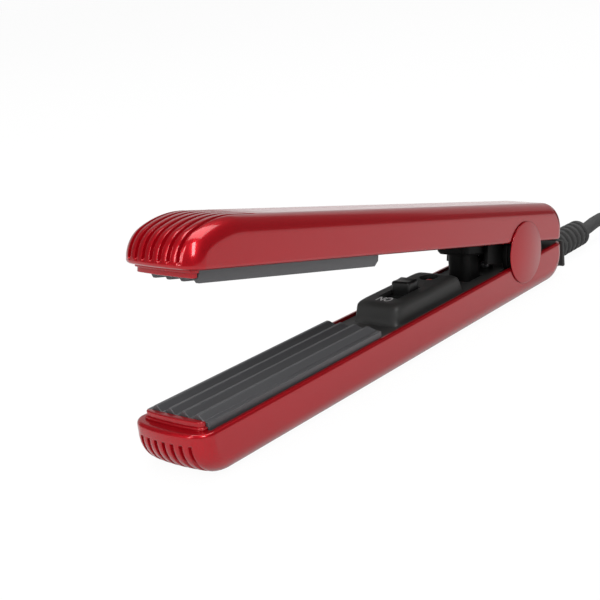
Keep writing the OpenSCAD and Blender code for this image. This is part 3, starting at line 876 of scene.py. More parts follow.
@dataclass
class Plug:
    """Flat two-pin plug: a moulded body and two sleeved pins, drawn along X."""

    at: Triple
    half: float = 17.65
    half_h: float = 6.85
    sides: int = 64
    seam: float = 0.01
    pin_y: float = 9.3
    pin_sides: int = 32
    pin: Profile = (
        (44, 0), (44, 1.9), (52.6, 1.9), (53.6, 1.4), (54, 0.5), (54, 0),
    )
    sleeve: Profile = ((34.6, 0), (34.6, 1.98), (44.6, 1.98), (44.6, 0))

    def stations(self) -> list[Quad]:
        """Returns: places along X with half width, half height and squareness."""
        half, high = self.half, self.half_h
        return [
            (0.0, 3.2, 3.2, 1.0), (1.5, 3.6, 3.6, 1.0), (6.5, 5.0, 4.9, 1.0),
            (9.0, 6.4, 5.4, 0.85), (13.0, 9.0, 5.8, 0.7), (18.0, 12.2, 6.2, 0.6),
            (24.0, 15.3, 6.6, 0.5), (29.0, 17.2, 6.84, 0.42), (32.0, half, high, 0.4),
            (34.2, half, high, 0.4), (34.8, half - 0.3, 6.5, 0.4),
            (35.0, half - 0.8, 6.0, 0.4),
        ]

    def moulding(self) -> bpy.types.Object:
        """Returns: the plug's body."""
        stations = self.stations()
        px, py, pz = self.at

        def skin(i: int, j: int) -> Vector:
            """Args:
                i: the station.
                j: the step round it.

            Returns:
                The point of the plug's skin there.
            """
            x, w, h, power = stations[i]
            y, z = super_round(2 * math.pi * (j % self.sides) / self.sides, power)
            return Vector((px + x, py + w * y, pz + h * z))

        bm = bmesh.new()
        sheet(bm, len(stations), self.sides + 1, skin)
        weld(bm, self.seam)
        piece = finished("plug_moulding", bm, Seat.ROW)
        return dress(piece, JACKET, Body.LOWER, "plug_body")

    def pair(self, name: str, profile: Profile) -> bpy.types.Object:
        """Args:
            name: the piece's name.
            profile: outline of one pin or sleeve.

        Returns:
            Two of them side by side.
        """
        px, py, pz = self.at
        bm = bmesh.new()
        for y in (-self.pin_y, self.pin_y):
            turned = lathe(profile, self.pin_sides)
            bmesh.ops.translate(turned, vec=(px, py + y, pz), verts=turned.verts[:])
            join(bm, turned)
        return finished(name, bm, Seat.ROW)

    def build(self) -> list[bpy.types.Object]:
        """Returns: the body, the pins and their sleeves."""
        body = self.moulding()
        pins = self.pair("plug_pin_metal", self.pin)
        metal = dress(pins, NICKEL, Body.LOWER, "plug_pins")
        cover = dress(self.pair("plug_pin_sleeves", self.sleeve), JACKET, Body.LOWER)
        return [body, metal, cover]


@dataclass
class MainsCord:
    """The cord from its strain relief to its plug, which lies on a tied hank."""

    diameter: float = 5.0
    fold_r: float = 15.1
    run: float = 46.0
    hank_x: float = 123.0
    hank_y: float = -11.7
    pitch: float = 5.55
    turns: float = 5.5
    low: float = 3.1
    run_steps: int = 2
    fold_steps: int = 10
    cycle: float = 3.0
    climbs: tuple[float, ...] = (1.5, 3.0, 4.5)
    climb: float = 0.5
    last_out: float = 0.6
    lead: tuple[Triple, ...] = (
        (65, 0, 6.3), (71, 0, 6.3), (77, 0, 7.0), (83, 0.1, 7.1), (88.5, 0.5, 6.4),
        (94, 1.4, 5.6), (99, 3.2, 4.9), (104, 5.6, 4.2), (109, 8.2, 3.5),
        (114, 10.4, 3.15), (118.5, 11.45, 3.1),
    )
    plug_off: tuple[float, float] = (25, 2.5)
    plug_gap: float = 0.05
    round_steps: int = 6
    band_wall: float = 0.5
    band_cut: float = 0.45
    band_slack: float = 0.1
    band_left: float = 0.65
    band_arc: int = 8
    band_x: float = 1.5
    band_edges: Profile = ((0.0, 0.2), (0.25, 0.0), (5.75, 0.0), (6.0, 0.2))
    top_layer: float = field(init=False)
    run_y: float = field(init=False)
    plug_at: Triple = field(init=False)

    def __post_init__(self) -> None:
        """Works out the hank's top layer, its outer run and where the plug lies."""
        self.top_layer = self.low + 3 * self.pitch
        self.run_y = self.hank_y - self.fold_r - self.pitch
        self.plug_at = (
            self.hank_x + self.plug_off[0], self.hank_y + self.plug_off[1],
            self.top_layer + self.diameter / 2 + self.plug_gap + Plug.half_h,
        )

    def steps(self) -> int:
        """Returns: how many points of the cord make a turn of the hank."""
        return 2 * (self.run_steps + self.fold_steps)

    def hank_point(self, turn: float) -> Triple:
        """Args:
            turn: how many turns of the hank have gone by.

        Returns:
            The middle of the cord there.
        """
        r = self.fold_r + self.pitch * abs(turn % self.cycle - self.cycle / 2)
        climb = self.climb
        layers = sum(smooth((turn - m + climb / 2) / climb) for m in self.climbs)
        side = 1 if turn % 1 < 0.5 else -1
        step = self.steps() * (turn % 0.5)
        a = math.pi / self.fold_steps * max(0.0, step - self.run_steps)
        x = self.run * (min(1.0, step / self.run_steps) - 0.5) + r * math.sin(a)
        return (
            self.hank_x + self.run / 2 + side * x,
            self.hank_y + side * r * math.cos(a),
            self.low + self.pitch * layers,
        )

    def last_leg(self) -> list[Triple]:
        """Returns: the run onto the hank's top, its fold and its way to the plug."""
        plug_x, plug_y, plug_z = self.plug_at
        last_y = self.run_y - self.last_out
        top = self.top_layer + self.pitch
        end_y = last_y + 2 * self.fold_r
        line = [
            (self.hank_x + self.run * (1 - u), self.run_y - self.last_out * u,
             self.top_layer + self.pitch * smooth(u))
            for u in spread(0, 1, 8)
        ]
        for a in spread(15, 180, 11):
            t = math.radians(a)
            line.append((self.hank_x - self.fold_r * math.sin(t),
                         last_y + self.fold_r - self.fold_r * math.cos(t), top))
        for u in spread(1 / 6, 1, 5):
            swing = 2 * u * u if u < 0.5 else 1 - 2 * (1 - u) ** 2
            line.append((lerp(self.hank_x, plug_x - 0.5, u),
                         lerp(end_y, plug_y, swing), lerp(top, plug_z, swing)))
        return [*line, self.plug_at]

    def route(self) -> list[Triple]:
        """Returns: the middle of the cord from the strain relief to the plug."""
        steps = self.steps()
        hank = [self.hank_point(i / steps) for i in range(round(steps * self.turns))]
        return [*self.lead, *hank, *self.last_leg()]

    def build(self) -> bpy.types.Object:
        """Returns: the cord as one round curve."""
        points = [Vector(p) * MM for p in self.route()]
        curve = bpy.data.curves.new("mains_cord", "CURVE")
        curve.dimensions = "3D"
        curve.bevel_depth = self.diameter / 2 * MM
        curve.bevel_resolution = self.round_steps
        curve.use_fill_caps = True
        line = curve.splines.new("POLY")
        line.points.add(len(points) - 1)
        for p, co in zip(line.points, points):
            p.co = (*co, 1)
        line.use_smooth = True
        cord = placed("mains_cord", curve)
        dress(cord, JACKET, Body.LOWER, "cord_lead", "cord_hank", "cord_tail")
        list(self.plug())
        self.band()
        return cord

    def plug(self) -> list[bpy.types.Object]:
        """Returns: the plug's pieces."""
        return Plug(self.plug_at).build()

    def band_line(self) -> list[tuple[float, float]]:
        """Returns: the cords that the band goes round, in y and z."""
        far, slack = self.hank_y + self.fold_r, self.band_slack
        out = far + 1.5 * self.pitch + slack
        left = self.run_y - self.band_left
        top = self.top_layer + self.pitch
        return [
            (left, self.low), (out, self.low), (out, self.low + 1.8 * self.pitch),
            (far + 0.65 * self.pitch, self.top_layer + slack),
            (left + 2 * self.fold_r + 0.15, top + 0.8), (left, top + slack),
        ]

    def band_ring(self) -> list[tuple[float, float]]:
        """Returns: the band's outside once round, in y and z."""
        line = self.band_line()
        r = self.diameter / 2 + self.band_slack + self.band_wall
        ring = []
        for i, (y, z) in enumerate(line):
            y0, z0 = line[i - 1]
            y1, z1 = line[(i + 1) % len(line)]
            a0 = math.atan2(z - z0, y - y0) - math.pi / 2
            a1 = math.atan2(z1 - z, y1 - y) - math.pi / 2
            while a1 < a0:
                a1 += 2 * math.pi
            for a in spread(a0, a1, self.band_arc):
                ring.append((y + r * math.cos(a), z + r * math.sin(a)))
        return ring

    def band(self) -> bpy.types.Object:
        """Returns: the band that ties the hank."""
        ring = self.band_ring()
        middle = Vector((self.hank_y, self.low + 2 * self.pitch))

        def strap(i: int, j: int) -> Vector:
            """Args:
                i: the line across the band.
                j: the step round it.

            Returns:
                The point of the band's outside there, its edges softened.
            """
            x, ease = self.band_edges[i]
            p = Vector(ring[j % len(ring)])
            p += (middle - p).normalized() * ease
            return Vector((self.hank_x + self.band_x + x, p.x, p.y))

        bm = bmesh.new()
        sheet(bm, len(self.band_edges), len(ring) + 1, strap)
        bmesh.ops.remove_doubles(bm, verts=bm.verts[:], dist=SEAM)
        bmesh.ops.recalc_face_normals(bm, faces=bm.faces[:])
        piece = finished("cord_band", bm, Seat.ROW)
        wall = piece.modifiers.new("wall", "SOLIDIFY")
        wall.thickness = self.band_cut * MM
        wall.offset = -1
        return dress(piece, JACKET, Body.LOWER, "cord_tie")


@dataclass
class StrainRelief:
    """Ribbed sleeve behind the arm: rings on a core, and lands that change sides."""

    root: float = 20.0
    root_r: float = 2.7
    neck: float = 0.1
    start: float = 31.0
    end: float = 65.0
    tip: float = 0.3
    sides: int = 72
    axis_z: float = 6.3
    core_r: float = 3.3
    rib_r: float = 5.4
    rib_w: float = 1.75
    rib_edge: float = 0.45
    rib_nick: float = 0.15
    shrink: float = 0.3
    ribs: int = 9
    pitch: float = 3.7
    first: float = 1.0
    land: float = 22.0
    land_in: float = 0.35
    land_lap: float = 0.2
    land_deep: float = 0.9
    land_wide: float = 0.55

    def profile(self) -> list[tuple[float, float]]:
        """Returns: the sleeve's outline as pairs of place and radius."""
        neck, core, tip = self.start - self.neck, self.core_r, self.tip
        e, n = self.rib_edge, self.rib_nick
        line = [(self.root, 0.0), (self.root, self.root_r), (neck, self.root_r),
                (neck, core)]
        for i in range(self.ribs):
            r = self.rib_r - self.shrink * i / (self.ribs - 1)
            x = self.start + self.first + self.pitch * i
            w = self.rib_w
            line += [(x, core), (x, r - e), (x + n, r - n), (x + e, r),
                     (x + w - e, r), (x + w - n, r - n), (x + w, r - e), (x + w, core)]
        return [*line, (self.end - tip, core), (self.end, core - tip), (self.end, 0.0)]

    def build(self) -> None:
        """Builds the sleeve and its lands."""
        bm = lathe(self.profile(), self.sides)
        for i in range(self.ribs - 1):
            rib = self.start + self.first + self.pitch * i + self.rib_w
            x0 = rib - self.land_lap
            x1 = x0 + self.pitch - self.rib_w + 2 * self.land_lap
            r = self.rib_r - self.shrink * (i + 1) / (self.ribs - 1) - self.land_in
            half = r * math.sin(math.radians(self.land))
            sides = (r * self.land_deep, half * self.land_wide)
            y, z = sides if i % 2 else reversed(sides)
            block(bm, (x0, -y, -z), (x1, y, z))
        bmesh.ops.translate(bm, vec=(0, 0, self.axis_z), verts=bm.verts[:])
        piece = finished("strain_relief", bm, Seat.ROW, 30)
        dress(piece, JACKET, Body.LOWER, "cord_boot")


# --- the arms -----------------------------------------------------------------------


class Across(Enum):
    """What a row of an arm's skin follows in the arm's cross-section."""

    WALL = "wall"
    TURN = "turn"
    TOP = "top"


class Along(Enum):
    """What a column of an arm's skin follows in the arm's side view."""

    BASE = "base"
    FRONT = "front"
    NOSE = "nose"
    CROWN = "crown"
    FLAT = "flat"
    TAIL = "tail"
    TAIL_BASE = "tail_base"


Row = tuple[Across, int, float, float]
Column = tuple[Along, float, float]


@dataclass
class ArmForm:
    """The outside and the hollow of an arm, drawn as the upper one.

    Rows run across it from the near rim to the far one, and columns along it from the
    nose to the tail. The hollow has the same rows and columns, so that the rim can join
    them.
    """

    nose_r: float = 9.0
    nose_turn: float = 60.0
    nose_arc_z: float = 5.0
    groove_start: float = -2.6
    length: float = 165.0
    tail: float = 29.5
    width: float = 24.1
    nose_width: float = 26.9
    rim: float = 3.3
    relief: float = 0.05
    top: float = 16.5
    edge_r: float = 5.0
    bulge: float = 2.2
    tail_r: float = 10.0
    lip: float = 1.0
    blend: float = 25.0
    ease: float = 0.3
    groove_pitch: float = 2.87
    groove_d: float = 0.9
    groove_end: float = 138.0
    groove_side: Profile = (
        (0.78, 0.0), (0.66, 0.04), (0.56, 0.3), (0.46, 0.78), (0.34, 0.98),
    )
    groove_front: Profile = (
        (0, 0), (1, 0.1), (2, 0.4), (3, 0.75), (4, 0.95), (5.5, 1),
    )
    groove_rear: Profile = (
        (4, 1), (2, 1), (1.4, 0.92), (0.9, 0.62), (0.4, 0.18), (0, 0),
    )
    grooves: int = 7
    wall: float = 1.5
    wall_rows: tuple[float, ...] = (0.0, 0.5, 1.5, 3.5, 5.5)
    front_cols: tuple[float, ...] = (5.0, 5.6, 6.0)
    flat_cols: tuple[float, ...] = (-130, -110, -90, -70, -50, -30, -15, -1, 0, 10)
    lip_steps: tuple[float, ...] = (18, 36, 54, 72, 90)
    hollow_front: float = -161.25
    crown_r: float = field(init=False)
    crown_x: float = field(init=False)
    rows: list[Row] = field(init=False)
    cols: list[Column] = field(init=False)

    def __post_init__(self) -> None:
        """Works out the crown arc and lays out the rows and columns."""
        t = math.radians(self.nose_turn)
        s = math.sin(t)
        self.crown_r = (self.top - self.nose_arc_z - self.nose_r * s) / (1 - s)
        reach = (self.crown_r - self.nose_r) * math.cos(t)
        self.crown_x = -self.length + self.nose_r + reach
        self.rows = self.lay_rows()
        self.cols = self.lay_cols()

    def half_w(self, x: float) -> float:
        """Returns: half the arm's width at x."""
        return self.width / 2 - (self.nose_width - self.width) / 2 * x / self.length

    def level(self, x: float) -> float:
        """Returns: the height of the rim at x."""
        return self.rim + self.relief * smooth(x + 1)

    def nose_start(self) -> float:
        """Returns: the height at which the nose's grooves begin."""
        return self.nose_arc_z + self.nose_r * math.sin(math.radians(self.groove_start))

    def lay_rows(self) -> list[Row]:
        """Returns: rows as a kind, a side, a measure and their share of a groove."""
        side = [(Across.WALL, h, 0.0) for h in self.wall_rows]
        side += [(Across.TURN, t, 0.0) for t in range(90, 12, -6)]
        steps = [(-y, deep) for y, deep in self.groove_side]
        steps += [(0.0, 1.0), *reversed(self.groove_side)]
        middle = []
        for i in range(self.grooves):
            y = self.groove_pitch * (i - (self.grooves - 1) / 2)
            middle += [(Across.TOP, y + dy, deep) for dy, deep in steps]
        return ([(k, NEAR, a, b) for k, a, b in side]
                + [(k, 0, a, b) for k, a, b in middle]
                + [(k, FAR, a, b) for k, a, b in reversed(side)])

    def lay_cols(self) -> list[Column]:
        """Returns: columns as a kind, a measure and their share of a groove."""
        start, end = self.groove_start, -self.groove_end
        under = self.nose_start() - 0.2
        cols = [(Along.BASE, 0.0, 0.0)]
        cols += [(Along.FRONT, z, 0.0) for z in self.front_cols if z < under]
        cols += [(Along.NOSE, start + a, f) for a, f in self.groove_front]
        angles = [a for a in range(6, int(self.nose_turn), 6) if a > start + 8]
        cols += [(Along.NOSE, a, 1.0) for a in angles]
        cols += [(Along.CROWN, a, 1.0) for a in spread(self.nose_turn, 90, 12)]
        cols += [(Along.FLAT, end - x, f) for x, f in self.groove_rear]
        cols += [(Along.FLAT, x, 0.0) for x in self.flat_cols]
        cols += [(Along.TAIL, a, 0.0) for a in spread(90, 0, 18)]
        cols += [(Along.TAIL_BASE, 0.0, 0.0)]
        return cols

    def side_point(self, col: Column, d: float, g: float) -> tuple[float, float]:
        """Args:
            col: a column.
            d: how far the row is set in.
            g: how deep the row lies in a groove.

        Returns:
            The column's place in the side view, in x and z.
        """
        kind, a, deep = col
        t = math.radians(a)
        c, s = math.cos(t), math.sin(t)
        sunk = g * deep
        front = -self.length
        if kind is Along.BASE:
            return front + d, self.rim
        if kind is Along.FRONT:
            return front + d, a
        if kind is Along.NOSE:
            r = self.nose_r - d - sunk
            return front + self.nose_r - r * c, self.nose_arc_z + r * s
        if kind is Along.CROWN:
            r = self.crown_r - d - sunk
            return self.crown_x - r * c, self.top - self.crown_r + r * s
        if kind is Along.FLAT:
            return a, self.top - d - sunk
        if kind is Along.TAIL:
            r = self.tail_r - d
            return self.tail - self.tail_r + r * c, self.top - self.tail_r + r * s
        return self.tail - d, self.rim

    def point(self, i: int, j: int, hollow: bool = False) -> Vector:
        """Args:
            i: the row.
            j: the column.
            hollow: asks for the hollow and not for the outside.

        Returns:
            The point of the arm there.
        """
        kind, side, a, deep = self.rows[i]
        inset = self.wall if hollow else 0.0
        turn, share, g = 90.0, 1.0, 0.0
        if kind is Across.TURN:
            turn = a
        elif kind is Across.TOP:
            side = NEAR if a < 0 else FAR
            flat = self.half_w(-self.length) - self.edge_r
            over = abs(a) - flat
            turn = math.degrees(math.asin(over / self.edge_r)) if over > 0 else 0.0
            share = 1.0 if over > 0 else abs(a) / flat
            g = 0.0 if hollow else self.groove_d * deep
        t = math.radians(turn)
        r = self.edge_r - inset
        d = inset + r * (1 - math.cos(t))
        back = inset + r * (1 - math.sin(t))
        x, z = self.side_point(self.cols[j], d, g)
        w = max(0.0, min(1.0, (-self.length + self.blend - x) / self.blend))
        s = share * (self.half_w(x) - back) / self.half_w(x)
        x -= w * (self.bulge * (1 - s * s) + self.ease * (d - inset))
        low = self.level(x) + (0.0 if hollow else self.lip)
        if hollow:
            x = max(x, self.hollow_front)
        if kind is Across.WALL:
            z = min(z, low + a)
        return Vector((x, side * share * (self.half_w(x) - back), max(z, low)))

    def edge(self, hollow: bool) -> list[Vector]:
        """Args:
            hollow: asks for the hollow and not for the outside.

        Returns:
            Its edge, once round from the near tail.
        """
        m, n = len(self.rows) - 1, len(self.cols) - 1
        round_it = [(0, j) for j in range(n, 0, -1)] + [(i, 0) for i in range(m)]
        round_it += [(m, j) for j in range(n)] + [(i, n) for i in range(m, 0, -1)]
        return [self.point(i, j, hollow) for i, j in round_it]

    def rim_rings(self) -> list[list[Vector]]:
        """Returns: rings from the outside's edge over a rounded lip to the hollow."""
        outer = self.edge(False)
        count = len(outer)
        rings = [outer]
        for step in self.lip_steps:
            t = math.radians(step)
            inset = self.lip * (1 - math.cos(t))
            ring = []
            for k, p in enumerate(outer):
                way = Vector((0, 0, 0))
                reach = 1
                while way.length < 0.05:
                    way = outer[(k + reach) % count] - outer[k - reach]
                    reach += 1
                way.normalize()
                ring.append(Vector((p.x + way.y * inset, p.y - way.x * inset,
                                    p.z - self.lip * math.sin(t))))
            rings.append(ring)
        return [*rings, self.edge(True)]

    def solid(self) -> bmesh.types.BMesh:
        """Returns: the arm as a closed shell: its outside, its rim and its hollow."""
        bm = bmesh.new()
        rows, cols = len(self.rows), len(self.cols)
        sheet(bm, rows, cols, self.point)
        sheet(bm, rows, cols, lambda i, j: self.point(i, j, True))
        rings = self.rim_rings()
        count = len(rings[0])
        sheet(bm, len(rings), count + 1, lambda i, j: rings[i][j % count])
        weld(bm)
        return bm


@dataclass
class Shell:
    """A red arm shell whose hinge ears are near-black as painted shade, with the
    stepped ledge before its plate.
    """

    name: str
    node: str
    body: Body
    seat: Seat
    form: ArmForm
    ear_low: float
    ear_high: float
    ear_r: float = 9.6
    ear_edge: float = 0.2
    ear_sides: int = 96
    web_in: float = 0.4
    web_gap: float = 0.2
    web_out: float = 10.9
    web_z: tuple[float, float] = (3.6, 13.0)
    skirt_x: tuple[float, float] = (-18.5, -8.0)
    skirt_y: tuple[float, float] = (6.6, 8.2)
    skirt_z: tuple[float, float] = (-3.8, 5.0)
    skirt_edge: float = 0.3
    cut_r: float = 10.0
    cut_sides: int = 128
    cut_y: tuple[float, float] = (10.25, 13.5)
    gate: tuple[Triple, Triple] = ((21.2, -9.75, 0), (30.5, 9.75, 13.1))
    ledge_x: float = -161.2
    ledge_top: float = 3.4
    ledge_bow: float = 0.8
    ledge_edge: float = 0.25
    ledge_steps: tuple[Triple, ...] = ((2.7, 10.8, 2.4), (2.2, 10.25, 1.05))
    ledge_ends: tuple[float, float] = (24, 0.4)
    ledge_count: int = 32

    def ledge(self, bm: bmesh.types.BMesh) -> None:
        """Adds the two steps of the ledge, each a length, a half width and a level.

        Args:
            bm: the mesh to add to.
        """
        n = self.ledge_count
        late, power = self.ledge_ends
        for length, half, low in self.ledge_steps:
            shape = []
            for i in range(-n, n + 1):
                s = math.sin(math.pi / 2 * i / n)
                reach = length - self.ledge_bow * s * s
                reach *= (1 - abs(s) ** late) ** power
                shape.append((self.ledge_x - reach, half * s, low))
            made = prism(bm, shape, (0, 0, self.ledge_top - low))
            rim = [e for f in made for e in f.edges
                   if e.is_manifold and e.calc_face_angle(0) > CORNER
                   and all(abs(v.co.z - low) < 0.01 for v in e.verts)]
            soften(bm, once_each(rim), self.ledge_edge)

    def ears(self) -> None:
        """Builds the hinge ears inside the shell's side walls, near-black as painted
        shade.
        """
        bm = bmesh.new()
        edge, reach = self.ear_edge, self.ear_r - self.web_in
        web = (self.ear_low + self.web_gap, self.web_out)
        for side in (NEAR, FAR):
            disc(bm, self.ear_r, side * self.ear_low, side * self.ear_high,
                 self.ear_sides, edge)
            if self.body is Body.UPPER:
                for x, across, z, bevel in (
                    ((-reach, reach), web, self.web_z, edge),
                    (self.skirt_x, self.skirt_y, self.skirt_z, self.skirt_edge),
                ):
                    y = sorted(side * v for v in across)
                    block(bm, (x[0], y[0], z[0]), (x[1], y[1], z[1]), bevel, 2)
        # The ears, webs and skirts take the near-black copy of the moulding: painted
        # shade.
        dress(finished(f"{self.name}_ears", bm, self.seat, 32), SHADED_BLACK, self.body)

    def build(self) -> None:
        """Builds the shell."""
        piece = finished(self.name, self.form.solid(), Seat.ROW)
        if self.body is Body.UPPER:
            for side in (NEAR, FAR):
                hole = bmesh.new()
                y0, y1 = (side * y for y in self.cut_y)
                disc(hole, self.cut_r, y0, y1, self.cut_sides)
                bmesh.ops.recalc_face_normals(hole, faces=hole.faces[:])
                carve(piece, hole, Seat.ROW)
        else:
            gate = bmesh.new()
            block(gate, *self.gate)
            carve(piece, gate, Seat.ROW)
        bm = bmesh.new()
        bm.from_mesh(piece.data)
        bpy.data.objects.remove(piece)
        bmesh.ops.scale(bm, vec=(1 / MM, 1 / MM, 1 / MM), verts=bm.verts[:])
        self.ledge(bm)
        dress(finished(self.name, bm, self.seat, 32), RED, self.body, self.node)
        self.ears()


@dataclass
class HingeCap:
    """Shallow domed cap over one end of the hinge."""

    name: str
    node: str
    side: int
    inner: float = 12.45
    outer: float = 13.45
    rise: float = 0.8
    dome_r: float = 10.3
    dome_steps: int = 16
    sides: int = 96
    edge: Profile = ((12.62, 10.52), (12.58, 10.66), (12.52, 10.73))
    radius: float = 10.75
    foot_r: float = 10.6
    hub_r: float = 7.0
    hub: float = 11.96

    def build(self) -> None:
        """Builds the cap, turned about the hinge axis."""
        dome = [(self.outer - self.rise * (r / self.dome_r) ** 2, r)
                for r in spread(0, self.dome_r, self.dome_steps)]
        line = [
            *dome, *self.edge, (self.inner + 0.02, self.radius),
            (self.inner, self.foot_r), (self.inner, self.hub_r), (self.hub, self.hub_r),
            (self.hub, 0.0),
        ]
        bm = lathe(line, self.sides)
        quarter = Matrix.Rotation(self.side * math.pi / 2, 4, "Z")
        bmesh.ops.transform(bm, matrix=quarter, verts=bm.verts[:])
        dress(finished(self.name, bm, Seat.LOWER, 30), RED, Body.LOWER, self.node)


@dataclass
class CrimpingPlate:
    """Corrugated plate with softened crests and a bevelled rear end."""

    name: str
    node: str
    body: Body
    seat: Seat
    first: float
    front: float = -161.0
    length: float = 75.5
    half: float = 11.1
    pitch: float = 5.0
    crests: int = 4
    height: float = 1.6
    flat: float = 1.0
    steep: float = 0.1
    trim: float = 0.2
    mesh: float = 0.15
    back: float = 4.6
    edge: float = 0.12

    def outline(self) -> list[tuple[float, float]]:
        """Returns: the plate's end view, crests down, as pairs of y and z."""
        slope = (self.pitch - 2 * self.flat) / 2 - self.steep
        foot = self.flat / 2 + slope
        valley = self.height - self.mesh
        cut = self.first - foot < -self.half
        edge = self.first - self.flat / 2 - self.trim if cut else -self.half
        line = [(edge, self.back), (edge, -self.mesh if cut else valley)]
        for i in range(self.crests):
            c = self.first + self.pitch * i
            for p in ((c - foot, valley), (c - self.flat / 2, -self.mesh),
                      (c + self.flat / 2, -self.mesh), (c + foot, valley)):
                if p[0] > edge:
                    line.append(p)
        return [*line, (self.half, valley), (self.half, self.back)]

    def build(self) -> None:
        """Builds the plate."""
        bm = bmesh.new()
        ends = [(self.front, y, z) for y, z in self.outline()]
        prism(bm, ends, (self.length, 0, 0))
        rear = self.front + self.length
        bmesh.ops.bisect_plane(
            bm, geom=bm.verts[:] + bm.edges[:] + bm.faces[:],
            plane_co=(rear, 0, self.height - self.mesh),
            plane_no=Vector((1, 0, -1)).normalized(), clear_outer=True,
        )
        bmesh.ops.holes_fill(bm, edges=[e for e in bm.edges if e.is_boundary], sides=0)
        bmesh.ops.recalc_face_normals(bm, faces=bm.faces[:])
        piece = finished(self.name, bm, self.seat, 30)
        round_edges(piece, self.edge, 3, 25)
        dress(piece, PLATE, self.body, self.node)


@dataclass
class SwitchCover:
    """Inner cover of the lower arm with the raised switch housing and its openings."""

    ends: tuple[float, float] = (-85, 14)
    neck_x: float = -11.5
    neck_half: float = 8
    gap: float = 0.15
    low: float = -5.9
    thick: float = 1.6
    top: float = 1.87
    squareness: float = 0.18
    sides: int = 128
    # Levels of the housing: height, front, rear and half width.
    rings: tuple[Quad, ...] = (
        (-4.6, -74.3, -33.6, 8.8), (-4.3, -74.3, -33.6, 8.8),
        (-4.0, -73.9, -33.9, 8.75), (-3.4, -73.5, -34.3, 8.7),
        (-2.0, -73.1, -34.9, 8.6), (0.0, -72.6, -35.7, 8.45),
        (0.75, -72.3, -36.2, 8.3), (1.25, -71.8, -36.8, 7.95),
        (1.62, -71.2, -37.4, 7.4), (1.82, -70.4, -38.2, 6.8),
        (1.87, -69.6, -39.0, 6.1),
    )
    # The housing's inside, the knob's slot and the opening for the spring post.
    openings: tuple[tuple[Triple, Triple], ...] = (
        ((-71.0, -6.2, -7), (-38.2, 6.2, 0.7)),
        ((-65.65, -3.75, -1), (-52.75, 3.75, 4)),
        ((-25.6, -4.3, -7), (-15.9, 4.3, -3)),
    )
    lamp_x: float = -42.3
    lamp_z: tuple[float, float] = (-1, 4)
    lamp_r: float = 3.1
    edge: float = 0.12
    # OFF takes the darkened ink as painted shade; ON keeps the pale ink.
    words: tuple[tuple[str, str, float, tuple[float, float], Finish], ...] = (
        ("switch_word_on", "ON", -67.1, (2.4, 3.4), WHITE_INK),
        ("switch_word_off", "OFF", -48.6, (1.9, 2.4), SHADED_OFF_INK),
    )
    letter: float = 1.4
    letter_thick: float = 0.006
    letter_bold: float = 0.028

    def sheet_outline(self) -> list[Triple]:
        """Returns: the flat part of the cover, seen from above."""
        form = ArmForm()
        gap = form.wall + self.gap
        front, rear = self.ends
        x = self.neck_x
        wide, narrow = form.half_w(front) - gap, form.half_w(x) - gap
        half = [(front, wide), (x, narrow), (x, self.neck_half), (rear, self.neck_half)]
        corners = half + [(a, -b) for a, b in reversed(half)]
        return [(a, b, self.low) for a, b in corners]

    def housing(self) -> bmesh.types.BMesh:
        """Returns: the raised housing, closed."""

        def wall(i: int, j: int) -> Vector:
            """Args:
                i: the level.
                j: the step round it.

            Returns:
                The point of the housing's skin there.
            """
            z, x0, x1, half = self.rings[i]
            angle = 2 * math.pi * (j % self.sides) / self.sides
            x, y = super_round(angle, self.squareness)
            return Vector(((x0 + x1) / 2 + (x1 - x0) / 2 * x, half * y, z))

        bm = bmesh.new()
        sheet(bm, len(self.rings), self.sides + 1, wall)
        weld(bm)
        return bm

    def build(self) -> None:
        """Builds the cover and the words beside its slot."""
        bm = bmesh.new()
        prism(bm, self.sheet_outline(), (0, 0, self.thick))
        piece = finished("switch_cover", bm, Seat.LOWER, 30)
        carve(piece, self.housing(), Seat.LOWER, keep=True)
        for low, high in self.openings:
            cut = bmesh.new()
            block(cut, low, high)
            carve(piece, cut, Seat.LOWER)
        cut = bmesh.new()
        post(cut, (self.lamp_x, 0), *self.lamp_z, self.lamp_r)
        carve(piece, cut, Seat.LOWER)
        piece.data.set_sharp_from_angle(angle=math.radians(30))
        round_edges(piece, self.edge, 2, 50)
        dress(piece, BLACK, Body.LOWER, "lower_inner_cover")
        for word in self.words:
            self.word(*word)

    def word(self, name: str, text: str, x: float, size: tuple[float, float],
             ink: Finish) -> None:
        """Prints a word on the housing.

        Args:
            name: the piece's name.
            text: the word.
            x: its middle along the arm.
            size: scale of its letters along the line and in height.
            ink: its finish.
        """
        curve = bpy.data.curves.new(name, "FONT")
        curve.body = text
        curve.size = self.letter
        curve.align_x = "CENTER"
        curve.align_y = "CENTER"
        curve.extrude = self.letter_thick
        curve.offset = self.letter_bold
        scrap = placed(name, curve)
        bpy.context.view_layer.update()
        mesh = final_mesh(scrap)
        bpy.data.objects.remove(scrap)
        bm = bmesh.new()
        bm.from_mesh(mesh)
        bpy.data.meshes.remove(mesh)
        bmesh.ops.remove_doubles(bm, verts=bm.verts[:], dist=0.0001)
        bmesh.ops.scale(bm, vec=(*size, 1), verts=bm.verts[:])
        quarter = Matrix.Rotation(math.pi / 2, 4, "Z")
        turn = Matrix.Translation((x, 0, self.top)) @ quarter
        bmesh.ops.transform(bm, matrix=turn, verts=bm.verts[:])
        dress(finished(name, bm, Seat.LOWER, 30), ink, Body.LOWER)


